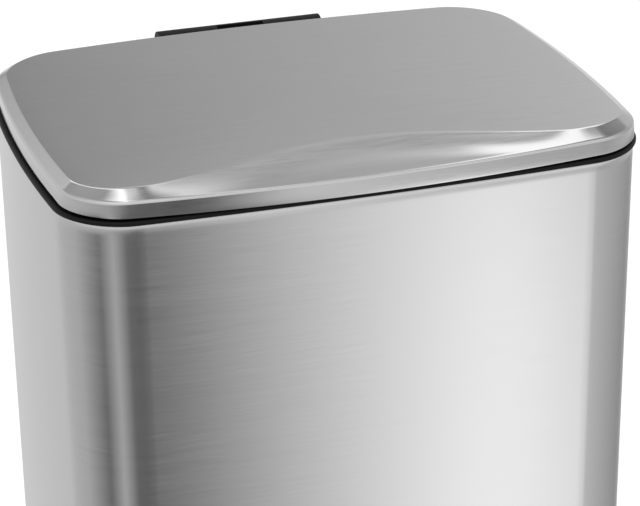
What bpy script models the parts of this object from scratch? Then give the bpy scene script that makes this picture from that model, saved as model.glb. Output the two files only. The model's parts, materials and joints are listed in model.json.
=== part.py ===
import math

import bmesh
import bpy
from mathutils import Matrix, Vector

# Overall sizes
BIN_HEIGHT = 0.650
BODY_WIDTH = 0.382
BODY_DEPTH = 0.279
SIDE_BOW = 0.009
FRONT_BOW = 0.0055
REAR_BOW = 0.0115
FRONT_RADIUS = 0.039
REAR_RADIUS = 0.057
SHEET = 0.0006
CLEARANCE = 0.0003

# The lid
LID_INSET = 0.0009
LID_FRONT_BOW = 0.0125
LID_FRONT_RADIUS = 0.033
LID_REAR_RADIUS = 0.044
LID_GAP = 0.006
SKIRT_HEIGHT = 0.0100
SKIRT_DIP = 0.0015
BEVEL_HEIGHT = 0.0045
LID_CROWN = 0.002
SIDE_BEVEL = 0.0085
FRONT_BEVEL = 0.0135
SCOOP_DEPTH = 0.0405
SCOOP_HALF_WIDTH = 0.146
LINER_THICKNESS = 0.002

# The ring, bucket and base
RING_WALL = 0.002
RING_DEPTH = 0.018
RING_LIP = 0.0023
RING_HEIGHT = 0.0034
BUCKET_WALL = 0.0018
BUCKET_GAP = 0.0015
BUCKET_FLANGE = 0.0075
BUCKET_FLOOR_HEIGHT = 0.056
BUCKET_TAPER = 0.009
GRIP_LENGTH = 0.090
GRIP_HEIGHT = 0.022
GRIP_DROP = 0.032
GROUND_GAP = 0.004
PLINTH_HEIGHT = 0.018
TRAY_HEIGHT = 0.048
SPIGOT_HEIGHT = 0.046
BASE_WALL = 0.0025
FOOT_RADIUS = 0.010
FOOT_HEIGHT = 0.006
FOOT_INSET = 0.038

# The hinge and its linkage
LID_SWING = math.radians(75)
HINGE_SETBACK = 0.012
HINGE_DROP = 0.001
COVER_CLEARANCE = 0.0007
COVER_WIDTH = 0.124
COVER_WALL = 0.0018
COVER_HEIGHT = 0.046
PIN_RADIUS = 0.0025
ARM_WIDTH = 0.030
ARM_THICKNESS = 0.0018
ARM_LENGTH = 0.058
ROD_OFFSET = 0.0195
ROD_RADIUS = 0.0025
CRANK_THICKNESS = 0.003
CRANK_PIN_RADIUS = 0.0015
SLOT_PLAY = 0.0012

# The pedal
AXLE_SETBACK = 0.030
AXLE_HEIGHT = 0.034
AXLE_RADIUS = 0.0025
AXLE_SPAN = 0.104
LEVER_WIDTH = 0.026
LEVER_THICKNESS = 0.003
LEVER_REAR_HEIGHT = 0.012
PEDAL_REACH = 0.050
PEDAL_WIDTH = 0.100
PEDAL_DEPTH = 0.044
PEDAL_THICKNESS = 0.003
NOTCH_SIDE_GAP = 0.006
NOTCH_TOP_GAP = 0.006

# How finely curves are drawn
ARC_STEPS = 6
FRONT_STEPS = 14
SIDE_STEPS = 6
REAR_STEPS = 10
ROUND_STEPS = 20
CUT_OVERRUN = 0.002

# Heights that follow
body_top = BIN_HEIGHT - LID_CROWN - BEVEL_HEIGHT - SKIRT_HEIGHT - LID_GAP
skirt_bottom = body_top + LID_GAP
skirt_top = skirt_bottom + SKIRT_HEIGHT
crease_height = skirt_top + BEVEL_HEIGHT
shell_bottom = GROUND_GAP + PLINTH_HEIGHT
liner_top = skirt_top - SHEET - 2 * CLEARANCE
liner_underside = liner_top - LINER_THICKNESS
ring_top = body_top + RING_HEIGHT
notch_top = AXLE_HEIGHT + LEVER_THICKNESS / 2 + PEDAL_THICKNESS + NOTCH_TOP_GAP

# Places that follow, measured from the middle of the body
body_front = -BODY_DEPTH / 2 - FRONT_BOW
body_rear = BODY_DEPTH / 2 + REAR_BOW
lid_rear = body_rear - LID_INSET
pivot_y = lid_rear + HINGE_SETBACK
pivot_z = skirt_bottom - HINGE_DROP
cover_radius = HINGE_SETBACK - COVER_CLEARANCE
rod_y = pivot_y - ROD_OFFSET
rod_travel = 2 * ROD_OFFSET * math.tan(LID_SWING / 2)
crank_pin_z = pivot_z - ROD_OFFSET * math.tan(LID_SWING / 2)
axle_y = -AXLE_SETBACK
pedal_front = body_front - PEDAL_REACH
bin_rear = pivot_y + cover_radius
frame_shift = -(pedal_front + bin_rear) / 2

BODY_PLAN = {
    "width": BODY_WIDTH,
    "depth": BODY_DEPTH,
    "front_radius": FRONT_RADIUS,
    "rear_radius": REAR_RADIUS,
    "front_bow": FRONT_BOW,
}
LID_PLAN = {
    "width": BODY_WIDTH - 2 * LID_INSET,
    "depth": BODY_DEPTH - 2 * LID_INSET,
    "front_radius": LID_FRONT_RADIUS,
    "rear_radius": LID_REAR_RADIUS,
    "front_bow": LID_FRONT_BOW,
}

STEEL = {"colour": (0.60, 0.59, 0.58, 1.0), "roughness": 0.30, "metallic": 1.0}
ZINC = {"colour": (0.66, 0.67, 0.68, 1.0), "roughness": 0.38, "metallic": 1.0}
BLACK_STEEL = {"colour": (0.020, 0.020, 0.021, 1.0), "roughness": 0.50, "metallic": 0.0}
BLACK = {"colour": (0.018, 0.018, 0.019, 1.0), "roughness": 0.45, "metallic": 0.0}
GREY = {"colour": (0.10, 0.10, 0.105, 1.0), "roughness": 0.55, "metallic": 0.0}
RUBBER = {"colour": (0.022, 0.022, 0.022, 1.0), "roughness": 0.80, "metallic": 0.0}
NYLON = {"colour": (0.78, 0.76, 0.70, 1.0), "roughness": 0.50, "metallic": 0.0}

for old in list(bpy.data.objects):
    bpy.data.objects.remove(old, do_unlink=True)

parts = bpy.data.collections.new("pedal_bin")
cutters = bpy.data.collections.new("cutters")
bpy.context.scene.collection.children.link(parts)
bpy.context.scene.collection.children.link(cutters)


def add_axis(name, place, parent=None):
    """An empty that carries pieces; its place is measured in the body's frame."""
    empty = bpy.data.objects.new(name, None)
    parts.objects.link(empty)
    empty["place"] = place
    if parent is None:
        empty.location = (0, frame_shift, 0)
    else:
        empty.parent = parent
        empty.location = place
    return empty


frame = add_axis("bin_frame", (0, 0, 0))
lid_axis = add_axis("lid_axis", (0, pivot_y, pivot_z), frame)
pedal_axis = add_axis("pedal_axis", (0, axle_y, AXLE_HEIGHT), frame)
rod_axis = add_axis("rod_axis", (0, rod_y, AXLE_HEIGHT), frame)


def finish(obj, name, finish_values, carrier):
    """Name a solid, hang it on its carrier and give it a material of its own."""
    obj.name = name
    obj.data.name = name
    if obj.name not in parts.objects:
        parts.objects.link(obj)
    obj.parent = carrier
    obj.location = Vector(obj.location) - Vector(carrier["place"])
    material = bpy.data.materials.new(name + "_finish")
    material.use_nodes = True
    shader = material.node_tree.nodes["Principled BSDF"]
    shader.inputs["Base Color"].default_value = finish_values["colour"]
    shader.inputs["Roughness"].default_value = finish_values["roughness"]
    shader.inputs["Metallic"].default_value = finish_values["metallic"]
    obj.data.materials.clear()
    obj.data.materials.append(material)
    obj.data.shade_smooth()
    obj.data.set_sharp_from_angle(angle=math.radians(32))
    return obj


def hide_cutter(obj):
    """A helper shape that cuts or joins, kept out of the model."""
    cutters.objects.link(obj)
    obj.parent = frame
    obj.hide_render = True
    obj.display_type = "WIRE"
    return obj


def combine(obj, tool, operation):
    """Cut a solid with a helper, or join the helper to it."""
    modifier = obj.modifiers.new(operation.lower(), "BOOLEAN")
    modifier.operation = operation
    modifier.solver = "EXACT"
    modifier.object = tool if tool.name in cutters.objects else hide_cutter(tool)
    return obj


def cut(obj, tool):
    return combine(obj, tool, "DIFFERENCE")


def join(obj, tool):
    return combine(obj, tool, "UNION")


def object_from(bm, name, place=(0, 0, 0)):
    bmesh.ops.recalc_face_normals(bm, faces=bm.faces)
    mesh = bpy.data.meshes.new(name)
    bm.to_mesh(mesh)
    bm.free()
    obj = bpy.data.objects.new(name, mesh)
    obj.location = place
    return obj


def box(name, low, high):
    """A box between two corners."""
    bm = bmesh.new()
    bmesh.ops.create_cube(bm, size=1)
    size = Vector(high) - Vector(low)
    bmesh.ops.scale(bm, vec=size, verts=bm.verts)
    return object_from(bm, name, (Vector(low) + Vector(high)) / 2)


def rods(name, radius, ends, steps=ROUND_STEPS):
    """Straight round bars of one radius, each given by its two ends."""
    bm = bmesh.new()
    first = Vector(ends[0][0])
    for start, end in ends:
        run = Vector(end) - Vector(start)
        turn = run.to_track_quat("Z", "Y").to_matrix().to_4x4()
        middle = (Vector(start) + Vector(end)) / 2 - first
        bmesh.ops.create_cone(
            bm,
            cap_ends=True,
            segments=steps,
            radius1=radius,
            radius2=radius,
            depth=run.length,
            matrix=Matrix.Translation(middle) @ turn,
        )
    return object_from(bm, name, first)


def turned(name, profile, place, axis="Z", steps=ROUND_STEPS):
    """A turned solid; its profile's points are (radius, height along the axis)."""
    bm = bmesh.new()
    points = [bm.verts.new((radius, 0, height)) for radius, height in profile]
    for one, two in zip(points, points[1:]):
        bm.edges.new((one, two))
    if profile[0][0] > 0:
        bm.edges.new((points[-1], points[0]))
    bmesh.ops.spin(
        bm,
        geom=bm.verts[:] + bm.edges[:],
        cent=(0, 0, 0),
        axis=(0, 0, 1),
        angle=math.tau,
        steps=steps,
        use_merge=True,
    )
    bmesh.ops.remove_doubles(bm, verts=bm.verts, dist=0.00001)
    turns = {
        "Z": Matrix(),
        "X": Matrix.Rotation(math.pi / 2, 4, "Y"),
        "-X": Matrix.Rotation(-math.pi / 2, 4, "Y"),
        "Y": Matrix.Rotation(-math.pi / 2, 4, "X"),
    }
    bmesh.ops.transform(bm, matrix=turns[axis], verts=bm.verts)
    return object_from(bm, name, place)


def turned_set(names, profile, places, axes, values, carrier, steps=ROUND_STEPS):
    """Several of one turned piece, each its own solid."""
    for name, place, axis in zip(names, places, axes):
        finish(turned(name, profile, place, axis, steps), name, values, carrier)


def plate(name, outline, thickness, plane, place):
    """A flat outline with a thickness; plane YZ stands along X, plane XY lies flat."""
    curve = bpy.data.curves.new(name, "CURVE")
    curve.dimensions = "2D"
    curve.fill_mode = "BOTH"
    curve.extrude = thickness / 2
    spline = curve.splines.new("POLY")
    spline.points.add(len(outline) - 1)
    for point, (across, along) in zip(spline.points, outline):
        point.co = (across, along, 0, 1)
    spline.use_cyclic_u = True
    drawn = bpy.data.objects.new(name, curve)
    parts.objects.link(drawn)
    bpy.context.view_layer.update()
    evaluated = drawn.evaluated_get(bpy.context.evaluated_depsgraph_get())
    mesh = bpy.data.meshes.new_from_object(evaluated)
    bpy.data.objects.remove(drawn)
    bpy.data.curves.remove(curve)
    bm = bmesh.new()
    bm.from_mesh(mesh)
    bpy.data.meshes.remove(mesh)
    bmesh.ops.remove_doubles(bm, verts=bm.verts, dist=0.00001)
    if plane == "YZ":
        turn = Matrix(((0, 0, 1, 0), (1, 0, 0, 0), (0, 1, 0, 0), (0, 0, 0, 1)))
        bmesh.ops.transform(bm, matrix=turn, verts=bm.verts)
    return object_from(bm, name, place)


def plan_points(plan):
    """A rectangle with round corners and bowed sides, anticlockwise seen from above."""
    half_width = plan["width"] / 2
    half_depth = plan["depth"] / 2
    corners = [
        (1, 1, plan["rear_radius"], REAR_STEPS),
        (-1, 1, plan["rear_radius"], SIDE_STEPS),
        (-1, -1, plan["front_radius"], FRONT_STEPS),
        (1, -1, plan["front_radius"], SIDE_STEPS),
    ]
    arcs = []
    for number, (across, along, radius, _) in enumerate(corners):
        centre_x = across * (half_width - radius)
        centre_y = along * (half_depth - radius)
        arc = []
        for step in range(ARC_STEPS + 1):
            angle = math.pi / 2 * (number + step / ARC_STEPS)
            arc.append((centre_x + radius * math.cos(angle), centre_y + radius * math.sin(angle)))
        arcs.append(arc)
    points = []
    for number, arc in enumerate(arcs):
        points += arc
        start = Vector(arc[-1])
        end = Vector(arcs[(number + 1) % len(arcs)][0])
        steps = corners[number][3]
        points += [tuple(start.lerp(end, step / steps)) for step in range(1, steps)]
    return [bow_point(x, y, plan) for x, y in points]


def bow_point(x, y, plan):
    """Push a plan point outward by the bows of the front, rear and sides."""
    across = 2 * x / plan["width"]
    along = 2 * y / plan["depth"]
    bow = REAR_BOW if y > 0 else plan["front_bow"]
    return (x + SIDE_BOW * (1 - along ** 2) * across, y + bow * (1 - across ** 2) * along)


def normals(points):
    """The outward direction at each point of a closed plan."""
    directions = []
    for number, point in enumerate(points):
        after = Vector(points[(number + 1) % len(points)]) - Vector(point)
        before = Vector(point) - Vector(points[number - 1])
        along = after.normalized() + before.normalized()
        directions.append(Vector((along.y, -along.x)).normalized())
    return directions


def inset(points, distance):
    """A plan moved inward, by one distance or by one for each point."""
    if not isinstance(distance, list):
        distance = [distance] * len(points)
    moved = zip(points, normals(points), distance)
    return [tuple(Vector(point) - direction * run) for point, direction, run in moved]


def raised(points, height):
    """A plan at one height, or at one for each point."""
    heights = height if isinstance(height, list) else [height] * len(points)
    return [(x, y, z) for (x, y), z in zip(points, heights)]


def loft(name, loops, closed=False, first_cap=False, last_cap=False):
    """Skin a stack of plans with the same number of points."""
    bm = bmesh.new()
    rings = [[bm.verts.new(point) for point in loop] for loop in loops]
    pairs = list(zip(rings, rings[1:]))
    if closed:
        pairs.append((rings[-1], rings[0]))
    for low, high in pairs:
        for number in range(len(low)):
            after = (number + 1) % len(low)
            bm.faces.new((low[number], low[after], high[after], high[number]))
    if first_cap:
        bm.faces.new(list(reversed(rings[0])))
    if last_cap:
        bm.faces.new(rings[-1])
    return object_from(bm, name)


def section_loops(plan, section):
    """Plans for a wall's section; its points are (inset, height)."""
    return [raised(inset(plan, run), height) for run, height in section]


body_plan = plan_points(BODY_PLAN)
lid_plan = plan_points(LID_PLAN)


def make_body_shell():
    """The steel wall: a folded hem at the top and notches for the lid's arm and the pedal."""
    hem_depth = 0.006
    hem = 2 * SHEET
    round_over = SHEET
    section = [
        (0, shell_bottom + CLEARANCE),
        (0, body_top - round_over),
        (round_over / 2, body_top),
        (hem, body_top),
        (hem, body_top - hem_depth),
        (SHEET, body_top - hem_depth),
        (SHEET, shell_bottom + CLEARANCE),
    ]
    shell = loft("shell", section_loops(body_plan, section), closed=True)
    half = crank_notch_half()
    top = body_top + CUT_OVERRUN
    cut(shell, box("shell_arm_cut", (-half, body_rear - rear_cut_depth, notch_floor), (half, bin_rear, top)))
    side = PEDAL_WIDTH / 2 + NOTCH_SIDE_GAP
    low = (-side, body_front - PEDAL_REACH, shell_bottom - CUT_OVERRUN)
    cut(shell, box("shell_pedal_cut", low, (side, body_front + front_cut_depth, notch_top)))
    return finish(shell, "body_shell", STEEL, frame)


def crank_notch_half():
    """Half the width that the crank and the rod's fork need."""
    return CRANK_THICKNESS / 2 + fork_wall + 3 * CLEARANCE + crank_notch_play


fork_wall = 0.002
crank_notch_play = 0.004
rear_cut_depth = 0.004
front_cut_depth = 0.020
crank_half_width = 0.0045
notch_floor = crank_pin_z - crank_half_width * 0.75 + CLEARANCE


def make_top_ring():
    """The black ring that caps the wall: a bead outside, a ledge for the bucket inside."""
    hem = 2 * SHEET
    wall_outside = hem + 2 * CLEARANCE
    ledge = body_top + CLEARANCE
    section = [
        (-RING_LIP * 0.7, ledge),
        (-RING_LIP, body_top + RING_HEIGHT * 0.4),
        (-RING_LIP * 0.9, body_top + RING_HEIGHT * 0.75),
        (-RING_LIP * 0.4, ring_top),
        (bucket_rim_inset - CLEARANCE, ring_top),
        (bucket_rim_inset - CLEARANCE, ledge),
        (bucket_wall_inset - BUCKET_GAP, ledge),
        (bucket_wall_inset - BUCKET_GAP, ledge - RING_WALL),
        (wall_outside + RING_WALL, ledge - RING_WALL),
        (wall_outside + RING_WALL, body_top - RING_DEPTH),
        (wall_outside, body_top - RING_DEPTH),
        (wall_outside, ledge),
    ]
    ring = loft("ring", section_loops(body_plan, section), closed=True)
    half = ARM_WIDTH / 2 + arm_side_gap
    low = (-half, body_rear - bucket_wall_inset, notch_floor - ring_notch_play)
    cut(ring, box("ring_arm_cut", low, (half, bin_rear, ring_top + CUT_OVERRUN)))
    half = COVER_WIDTH / 2 + 2 * CLEARANCE
    low = (-half, body_rear, body_top - CUT_OVERRUN)
    cut(ring, box("ring_cover_cut", low, (half, bin_rear, ring_top + CUT_OVERRUN)))
    return finish(ring, "top_ring", BLACK, frame)


bucket_rim_inset = 0.012
bucket_wall_inset = bucket_rim_inset + BUCKET_FLANGE
arm_side_gap = 0.0025
ring_notch_play = 0.001


def make_inner_bucket():
    """The lift-out bucket: it hangs by its flange, with two hand slots near the rim."""
    rim_low = body_top + 2 * CLEARANCE
    rim_high = rim_low + BUCKET_WALL
    floor_inset = bucket_wall_inset + BUCKET_TAPER
    floor_round = 0.010
    bottom = BUCKET_FLOOR_HEIGHT
    section = [
        (floor_inset + floor_round, bottom),
        (floor_inset, bottom + floor_round),
        (bucket_wall_inset, rim_low),
        (bucket_rim_inset, rim_low),
        (bucket_rim_inset, rim_high),
        (bucket_wall_inset + BUCKET_WALL, rim_high),
        (floor_inset + BUCKET_WALL, bottom + floor_round),
        (floor_inset + floor_round, bottom + BUCKET_WALL),
    ]
    loops = section_loops(body_plan, section)
    bucket = loft("bucket", loops, first_cap=True, last_cap=True)
    grip_top = rim_low - GRIP_DROP
    reach = BODY_WIDTH / 2 + SIDE_BOW
    low = (-reach, -GRIP_LENGTH / 2, grip_top - GRIP_HEIGHT)
    cut(bucket, box("grip_cut", low, (reach, GRIP_LENGTH / 2, grip_top)))
    half = crank_notch_half()
    low = (-half, body_rear - bucket_wall_inset + CLEARANCE, rim_low - CUT_OVERRUN)
    cut(bucket, box("bucket_arm_cut", low, (half, body_rear, rim_high + CUT_OVERRUN)))
    return finish(bucket, "inner_bucket", GREY, frame)


boss_radius = 0.012


def foot_places():
    """The middle of each foot, in order front left, front right, rear left, rear right."""
    across = BODY_WIDTH / 2 - FOOT_INSET
    along = BODY_DEPTH / 2 - FOOT_INSET
    return [(x, y) for y in (-along, along) for x in (-across, across)]


def make_base():
    """The base moulding: a plinth, a spigot inside the wall, a floor, foot bosses and ribs."""
    spigot = SHEET + CLEARANCE
    spigot_top = shell_bottom + SPIGOT_HEIGHT
    floor = TRAY_HEIGHT
    section = [
        (0, GROUND_GAP),
        (0, shell_bottom),
        (spigot, shell_bottom),
        (spigot, spigot_top),
        (spigot + BASE_WALL, spigot_top),
        (spigot + BASE_WALL, floor + BASE_WALL),
    ]
    inner = [(spigot + BASE_WALL, GROUND_GAP), (spigot + BASE_WALL, floor)]
    loops = section_loops(body_plan, list(reversed(inner)) + section)
    base = loft("base", loops, first_cap=True, last_cap=True)
    bosses = [
        ((x, y, FOOT_HEIGHT + CLEARANCE), (x, y, floor + BASE_WALL / 2)) for x, y in foot_places()
    ]
    join(base, rods("base_bosses", boss_radius, bosses))
    rib = rib_thickness
    for side in (-1, 1):
        middle = side * (AXLE_SPAN / 2 - rib)
        low = (middle - rib / 2, axle_y - rib_length / 2, AXLE_HEIGHT - rib_drop)
        join(base, box("axle_rib", low, (middle + rib / 2, axle_y + rib_length / 2, floor + BASE_WALL / 2)))
    reach = AXLE_SPAN / 2 + rib
    bore = [((-reach, axle_y, AXLE_HEIGHT), (reach, axle_y, AXLE_HEIGHT))]
    cut(base, rods("axle_bore", AXLE_RADIUS + CLEARANCE, bore))
    side = PEDAL_WIDTH / 2 + NOTCH_SIDE_GAP
    low = (-side, body_front - PEDAL_REACH, -CUT_OVERRUN)
    cut(base, box("base_pedal_cut", low, (side, body_front + front_cut_depth, notch_top)))
    hole = [((0, rod_y, floor - CUT_OVERRUN), (0, rod_y, floor + BASE_WALL + CUT_OVERRUN))]
    cut(base, rods("base_rod_hole", rod_foot_radius + 2 * CLEARANCE, hole))
    return finish(base, "base_moulding", BLACK, frame)


rib_thickness = 0.004
rib_length = 0.024
rib_drop = 0.010
rod_foot_radius = 0.004


def make_feet():
    names = ["foot_front_left", "foot_front_right", "foot_rear_left", "foot_rear_right"]
    edge = 0.001
    profile = [
        (0, FOOT_HEIGHT),
        (FOOT_RADIUS, FOOT_HEIGHT),
        (FOOT_RADIUS, edge),
        (FOOT_RADIUS - edge, 0),
        (0, 0),
    ]
    for name, (x, y) in zip(names, foot_places()):
        finish(turned(name, profile, (x, y, 0)), name, RUBBER, frame)


def make_rod_channel():
    """A plastic channel behind the bucket that boxes in the rod and the damper."""
    wall = channel_wall
    half = channel_half_width
    inside = body_rear - SHEET - 2 * CLEARANCE - bow_drop(half)
    front = channel_front()
    outline = [
        (-half, inside),
        (-half, front),
        (half, front),
        (half, inside),
        (half - wall, inside),
        (half - wall, front + wall),
        (wall - half, front + wall),
        (wall - half, inside),
    ]
    bottom = TRAY_HEIGHT + BASE_WALL + CLEARANCE
    height = channel_top() - bottom
    channel = plate("channel", outline, height, "XY", (0, 0, bottom + height / 2))
    spigot_inset = SHEET + CLEARANCE + BASE_WALL + 2 * CLEARANCE
    low = (-half - wall, body_rear - spigot_inset - bow_drop(half), bottom - wall)
    cut(channel, box("channel_foot_cut", low, (half + wall, body_rear, spigot_clear())))
    return finish(channel, "rod_channel", GREY, frame)


def bow_drop(across):
    """How far the rear wall has curved forward at a distance from the middle."""
    return REAR_BOW * (2 * across / BODY_WIDTH) ** 2


def channel_front():
    return rod_y - channel_reach


def channel_top():
    return notch_floor - channel_top_gap


def spigot_clear():
    return shell_bottom + SPIGOT_HEIGHT + CLEARANCE


channel_wall = 0.0012
channel_half_width = 0.027
channel_reach = 0.0085
channel_top_gap = 0.010


def make_guides():
    """Two blocks in the channel that keep the rod upright."""
    half = channel_half_width - channel_wall - CLEARANCE
    front = channel_front() + channel_wall + CLEARANCE
    rear = body_rear - SHEET - CLEARANCE - bow_drop(half)
    height = 0.012
    hole_left = damper_x - damper_radius - clip_wall - CLEARANCE
    for name, middle, right in (
        ("rod_guide_lower", lower_guide_height, half),
        ("rod_guide_upper", upper_guide_height, hole_left),
    ):
        block = box("guide", (-half, front, middle - height / 2), (right, rear, middle + height / 2))
        run = [((0, rod_y, middle - height), (0, rod_y, middle + height))]
        cut(block, rods(name + "_bore", ROD_RADIUS + CLEARANCE, run))
        finish(block, name, NYLON, frame)


lower_guide_rise = 0.110
upper_guide_drop = 0.196
lower_guide_height = TRAY_HEIGHT + lower_guide_rise
upper_guide_height = notch_floor - upper_guide_drop
damper_x = 0.016
damper_radius = 0.005
damper_length = 0.080
damper_bore = 0.0026
clip_wall = 0.0015
plunger_radius = 0.002


def damper_low():
    return upper_guide_height - damper_length / 2


def make_damper():
    """The soft-close damper's cylinder, open at its top, and the clip that holds it."""
    low = damper_low()
    high = low + damper_length
    profile = [
        (0, low + damper_bore),
        (damper_bore, low + damper_bore),
        (damper_bore, high),
        (damper_radius, high),
        (damper_radius, low),
        (0, low),
    ]
    outline = [(radius, height - low) for radius, height in reversed(profile)]
    cylinder = turned("cylinder", outline, (damper_x, rod_y, low))
    finish(cylinder, "damper_cylinder", ZINC, frame)
    height = 0.010
    half = channel_half_width - channel_wall - CLEARANCE
    middle = upper_guide_height
    left = damper_x - damper_radius - clip_wall
    front = channel_front() + channel_wall + CLEARANCE
    rear = body_rear - SHEET - CLEARANCE - bow_drop(half)
    clip = box("clip", (left, front, middle - height / 2), (half, rear, middle + height / 2))
    run = [((damper_x, rod_y, middle - height), (damper_x, rod_y, middle + height))]
    cut(clip, rods("clip_bore", damper_radius + CLEARANCE, run))
    finish(clip, "damper_clip", BLACK, frame)


def make_hinge_bracket():
    """A steel plate on the back of the wall with two cheeks that hold the pin."""
    cheek_inner = ARM_WIDTH / 2 + bush_flange + 2 * CLEARANCE
    cheek = bracket_sheet
    plate_front = body_rear + CLEARANCE
    half = cheek_inner + cheek + bracket_tab
    plate_low = pivot_z - bracket_drop
    base = box(
        "bracket", (-half, plate_front, plate_low), (half, plate_front + cheek, notch_floor - CLEARANCE)
    )
    for side in (-1, 1):
        middle = side * (cheek_inner + cheek / 2)
        outline = [(plate_front + cheek / 2, pivot_z - cheek_eye / 2)]
        outline.append((plate_front + cheek / 2, plate_low))
        outline.append((pivot_y, pivot_z - cheek_eye))
        for step in range(ARC_STEPS * 2 + 1):
            angle = -math.pi / 2 + math.pi * cheek_turn_share * step / (ARC_STEPS * 2)
            outline.append(
                (pivot_y + cheek_eye * math.cos(angle), pivot_z + cheek_eye * math.sin(angle))
            )
        side_plate = plate("cheek", outline, cheek, "YZ", (middle, 0, 0))
        join(base, side_plate)
        reach = cheek * 2
        bore = [((middle - reach, pivot_y, pivot_z), (middle + reach, pivot_y, pivot_z))]
        cut(base, rods("cheek_bore", PIN_RADIUS + CLEARANCE, bore))
        screw_x = side * (half - bracket_tab / 2)
        inner_end = (screw_x, body_rear - cheek, screw_height)
        outer_end = (screw_x, plate_front + 2 * cheek, screw_height)
        cut(base, rods("bracket_screw_hole", small_screw_radius + CLEARANCE, [(inner_end, outer_end)]))
    return finish(base, "hinge_bracket", ZINC, frame)


bracket_sheet = 0.0018
bracket_tab = 0.010
bracket_drop = 0.036
cheek_turn_share = 1.35
bush_flange = 0.001
cheek_eye = 0.0065
small_screw_radius = 0.0015
screw_height = pivot_z - 0.028


def make_hinge_pin():
    cheek_outer = ARM_WIDTH / 2 + bush_flange + 2 * CLEARANCE + bracket_sheet
    reach = cheek_outer + clip_thickness + 3 * CLEARANCE + PIN_RADIUS / 2
    pin = rods("pin", PIN_RADIUS, [((-reach, pivot_y, pivot_z), (reach, pivot_y, pivot_z))])
    finish(pin, "hinge_pin", ZINC, frame)
    near = cheek_outer + CLEARANCE
    inner = PIN_RADIUS + CLEARANCE
    profile = [
        (inner + clip_width, clip_thickness),
        (inner + clip_width, 0),
        (inner, 0),
        (inner, clip_thickness),
    ]
    names = ["hinge_clip_left", "hinge_clip_right"]
    places = [(-near, pivot_y, pivot_z), (near, pivot_y, pivot_z)]
    turned_set(names, profile, places, ["-X", "X"], ZINC, frame)


clip_thickness = 0.0008
clip_width = 0.0022


def make_hinge_cover():
    """A black cover over the bracket, its top rounded about the pin."""
    radius = cover_radius
    wall = COVER_WALL
    foot = pivot_z + radius - COVER_HEIGHT
    front = body_rear + 2 * CLEARANCE
    outline = [(front, foot)]
    outline.append((pivot_y + radius - cover_chamfer, foot))
    outline.append((pivot_y + radius, foot + cover_chamfer))
    for step in range(ARC_STEPS * 3 + 1):
        angle = math.pi * step / (ARC_STEPS * 3) * cover_turn_share
        outline.append((pivot_y + radius * math.cos(angle), pivot_z + radius * math.sin(angle)))
    outline.append((front, pivot_z + radius * math.sin(math.pi * cover_turn_share)))
    cover = plate("cover", outline, COVER_WIDTH, "YZ", (0, 0, 0))
    chamfer = cover.modifiers.new("end_chamfer", "BEVEL")
    chamfer.width = cover_chamfer / 2
    chamfer.segments = 1
    chamfer.limit_method = "ANGLE"
    chamfer.angle_limit = math.radians(60)
    hollow = [(front - radius, foot - wall)]
    hollow.append((pivot_y + radius - wall, foot - wall))
    for step in range(ARC_STEPS * 2 + 1):
        angle = math.pi * step / (ARC_STEPS * 2)
        inside = radius - wall
        hollow.append((pivot_y + inside * math.cos(angle), pivot_z + inside * math.sin(angle)))
    hollow.append((front - radius, pivot_z + radius - wall))
    hollow_width = COVER_WIDTH - 2 * wall
    tool = plate("cover_hollow", hollow, hollow_width, "YZ", (0, 0, 0))
    cut(cover, tool)
    half = ARM_WIDTH / 2 + arm_side_gap
    low = (-half, front - radius, pivot_z - radius)
    cut(cover, box("cover_slot", low, (half, pivot_y - CLEARANCE, pivot_z + radius + wall)))
    return finish(cover, "hinge_cover", BLACK, frame)


cover_chamfer = 0.003
cover_turn_share = 0.93


def front_share(direction):
    """1 where the lid's edge faces the front, 0 at its sides and back."""
    return max(0, -direction.y) ** 2


def bevel_runs():
    """How wide the sloping border is at each point; the scoop widens it in front."""
    runs = []
    for (x, _), direction in zip(lid_plan, normals(lid_plan)):
        share = front_share(direction)
        run = SIDE_BEVEL + (FRONT_BEVEL - SIDE_BEVEL) * share
        if abs(x) < SCOOP_HALF_WIDTH:
            turn = math.pi / 2 * x / SCOOP_HALF_WIDTH
            run += SCOOP_DEPTH * share * math.cos(turn) ** scoop_power
        runs.append(run)
    return runs


scoop_power = 1.4
scoop_hollow_power = 1.3
bevel_shares = (0.28, 0.52, 0.76)
crown_shares = (0.35, 0.7)
crown_middle_share = 0.06


def skirt_dips():
    """How far the skirt's lower edge hangs down at each point, most in the middle front."""
    dips = []
    for (x, _), direction in zip(lid_plan, normals(lid_plan)):
        across = 2 * x / LID_PLAN["width"]
        dips.append(SKIRT_DIP * front_share(direction) * max(0, 1 - across ** 2))
    return dips


def make_lid_shell():
    """The steel lid: skirt, sloping border with the front scoop, and a low crown."""
    runs = bevel_runs()
    loops = [raised(lid_plan, [skirt_bottom - dip for dip in skirt_dips()])]
    loops.append(raised(lid_plan, skirt_top))
    for share in bevel_shares:
        heights = []
        for run in runs:
            hollow = 1 + scoop_hollow_power * (run - SIDE_BEVEL) / SCOOP_DEPTH
            heights.append(skirt_top + BEVEL_HEIGHT * share ** hollow)
        loops.append(raised(inset(lid_plan, [run * share for run in runs]), heights))
    crease = inset(lid_plan, runs)
    loops.append(raised(crease, crease_height))
    middle_y = (crease[0][1] + min(y for _, y in crease)) / 2
    for share in crown_shares:
        ring = [(x * (1 - share), middle_y + (y - middle_y) * (1 - share)) for x, y in crease]
        loops.append(raised(ring, crease_height + LID_CROWN * (1 - (1 - share) ** 2)))
    share = crown_middle_share
    ring = [(x * share, middle_y + (y - middle_y) * share) for x, y in crease]
    loops.append(raised(ring, crease_height + LID_CROWN))
    lid = loft("lid", loops, last_cap=True)
    skin = lid.modifiers.new("sheet", "SOLIDIFY")
    skin.thickness = SHEET
    skin.offset = -1
    skin.use_even_offset = True
    return finish(lid, "lid_shell", STEEL, lid_axis)


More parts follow.
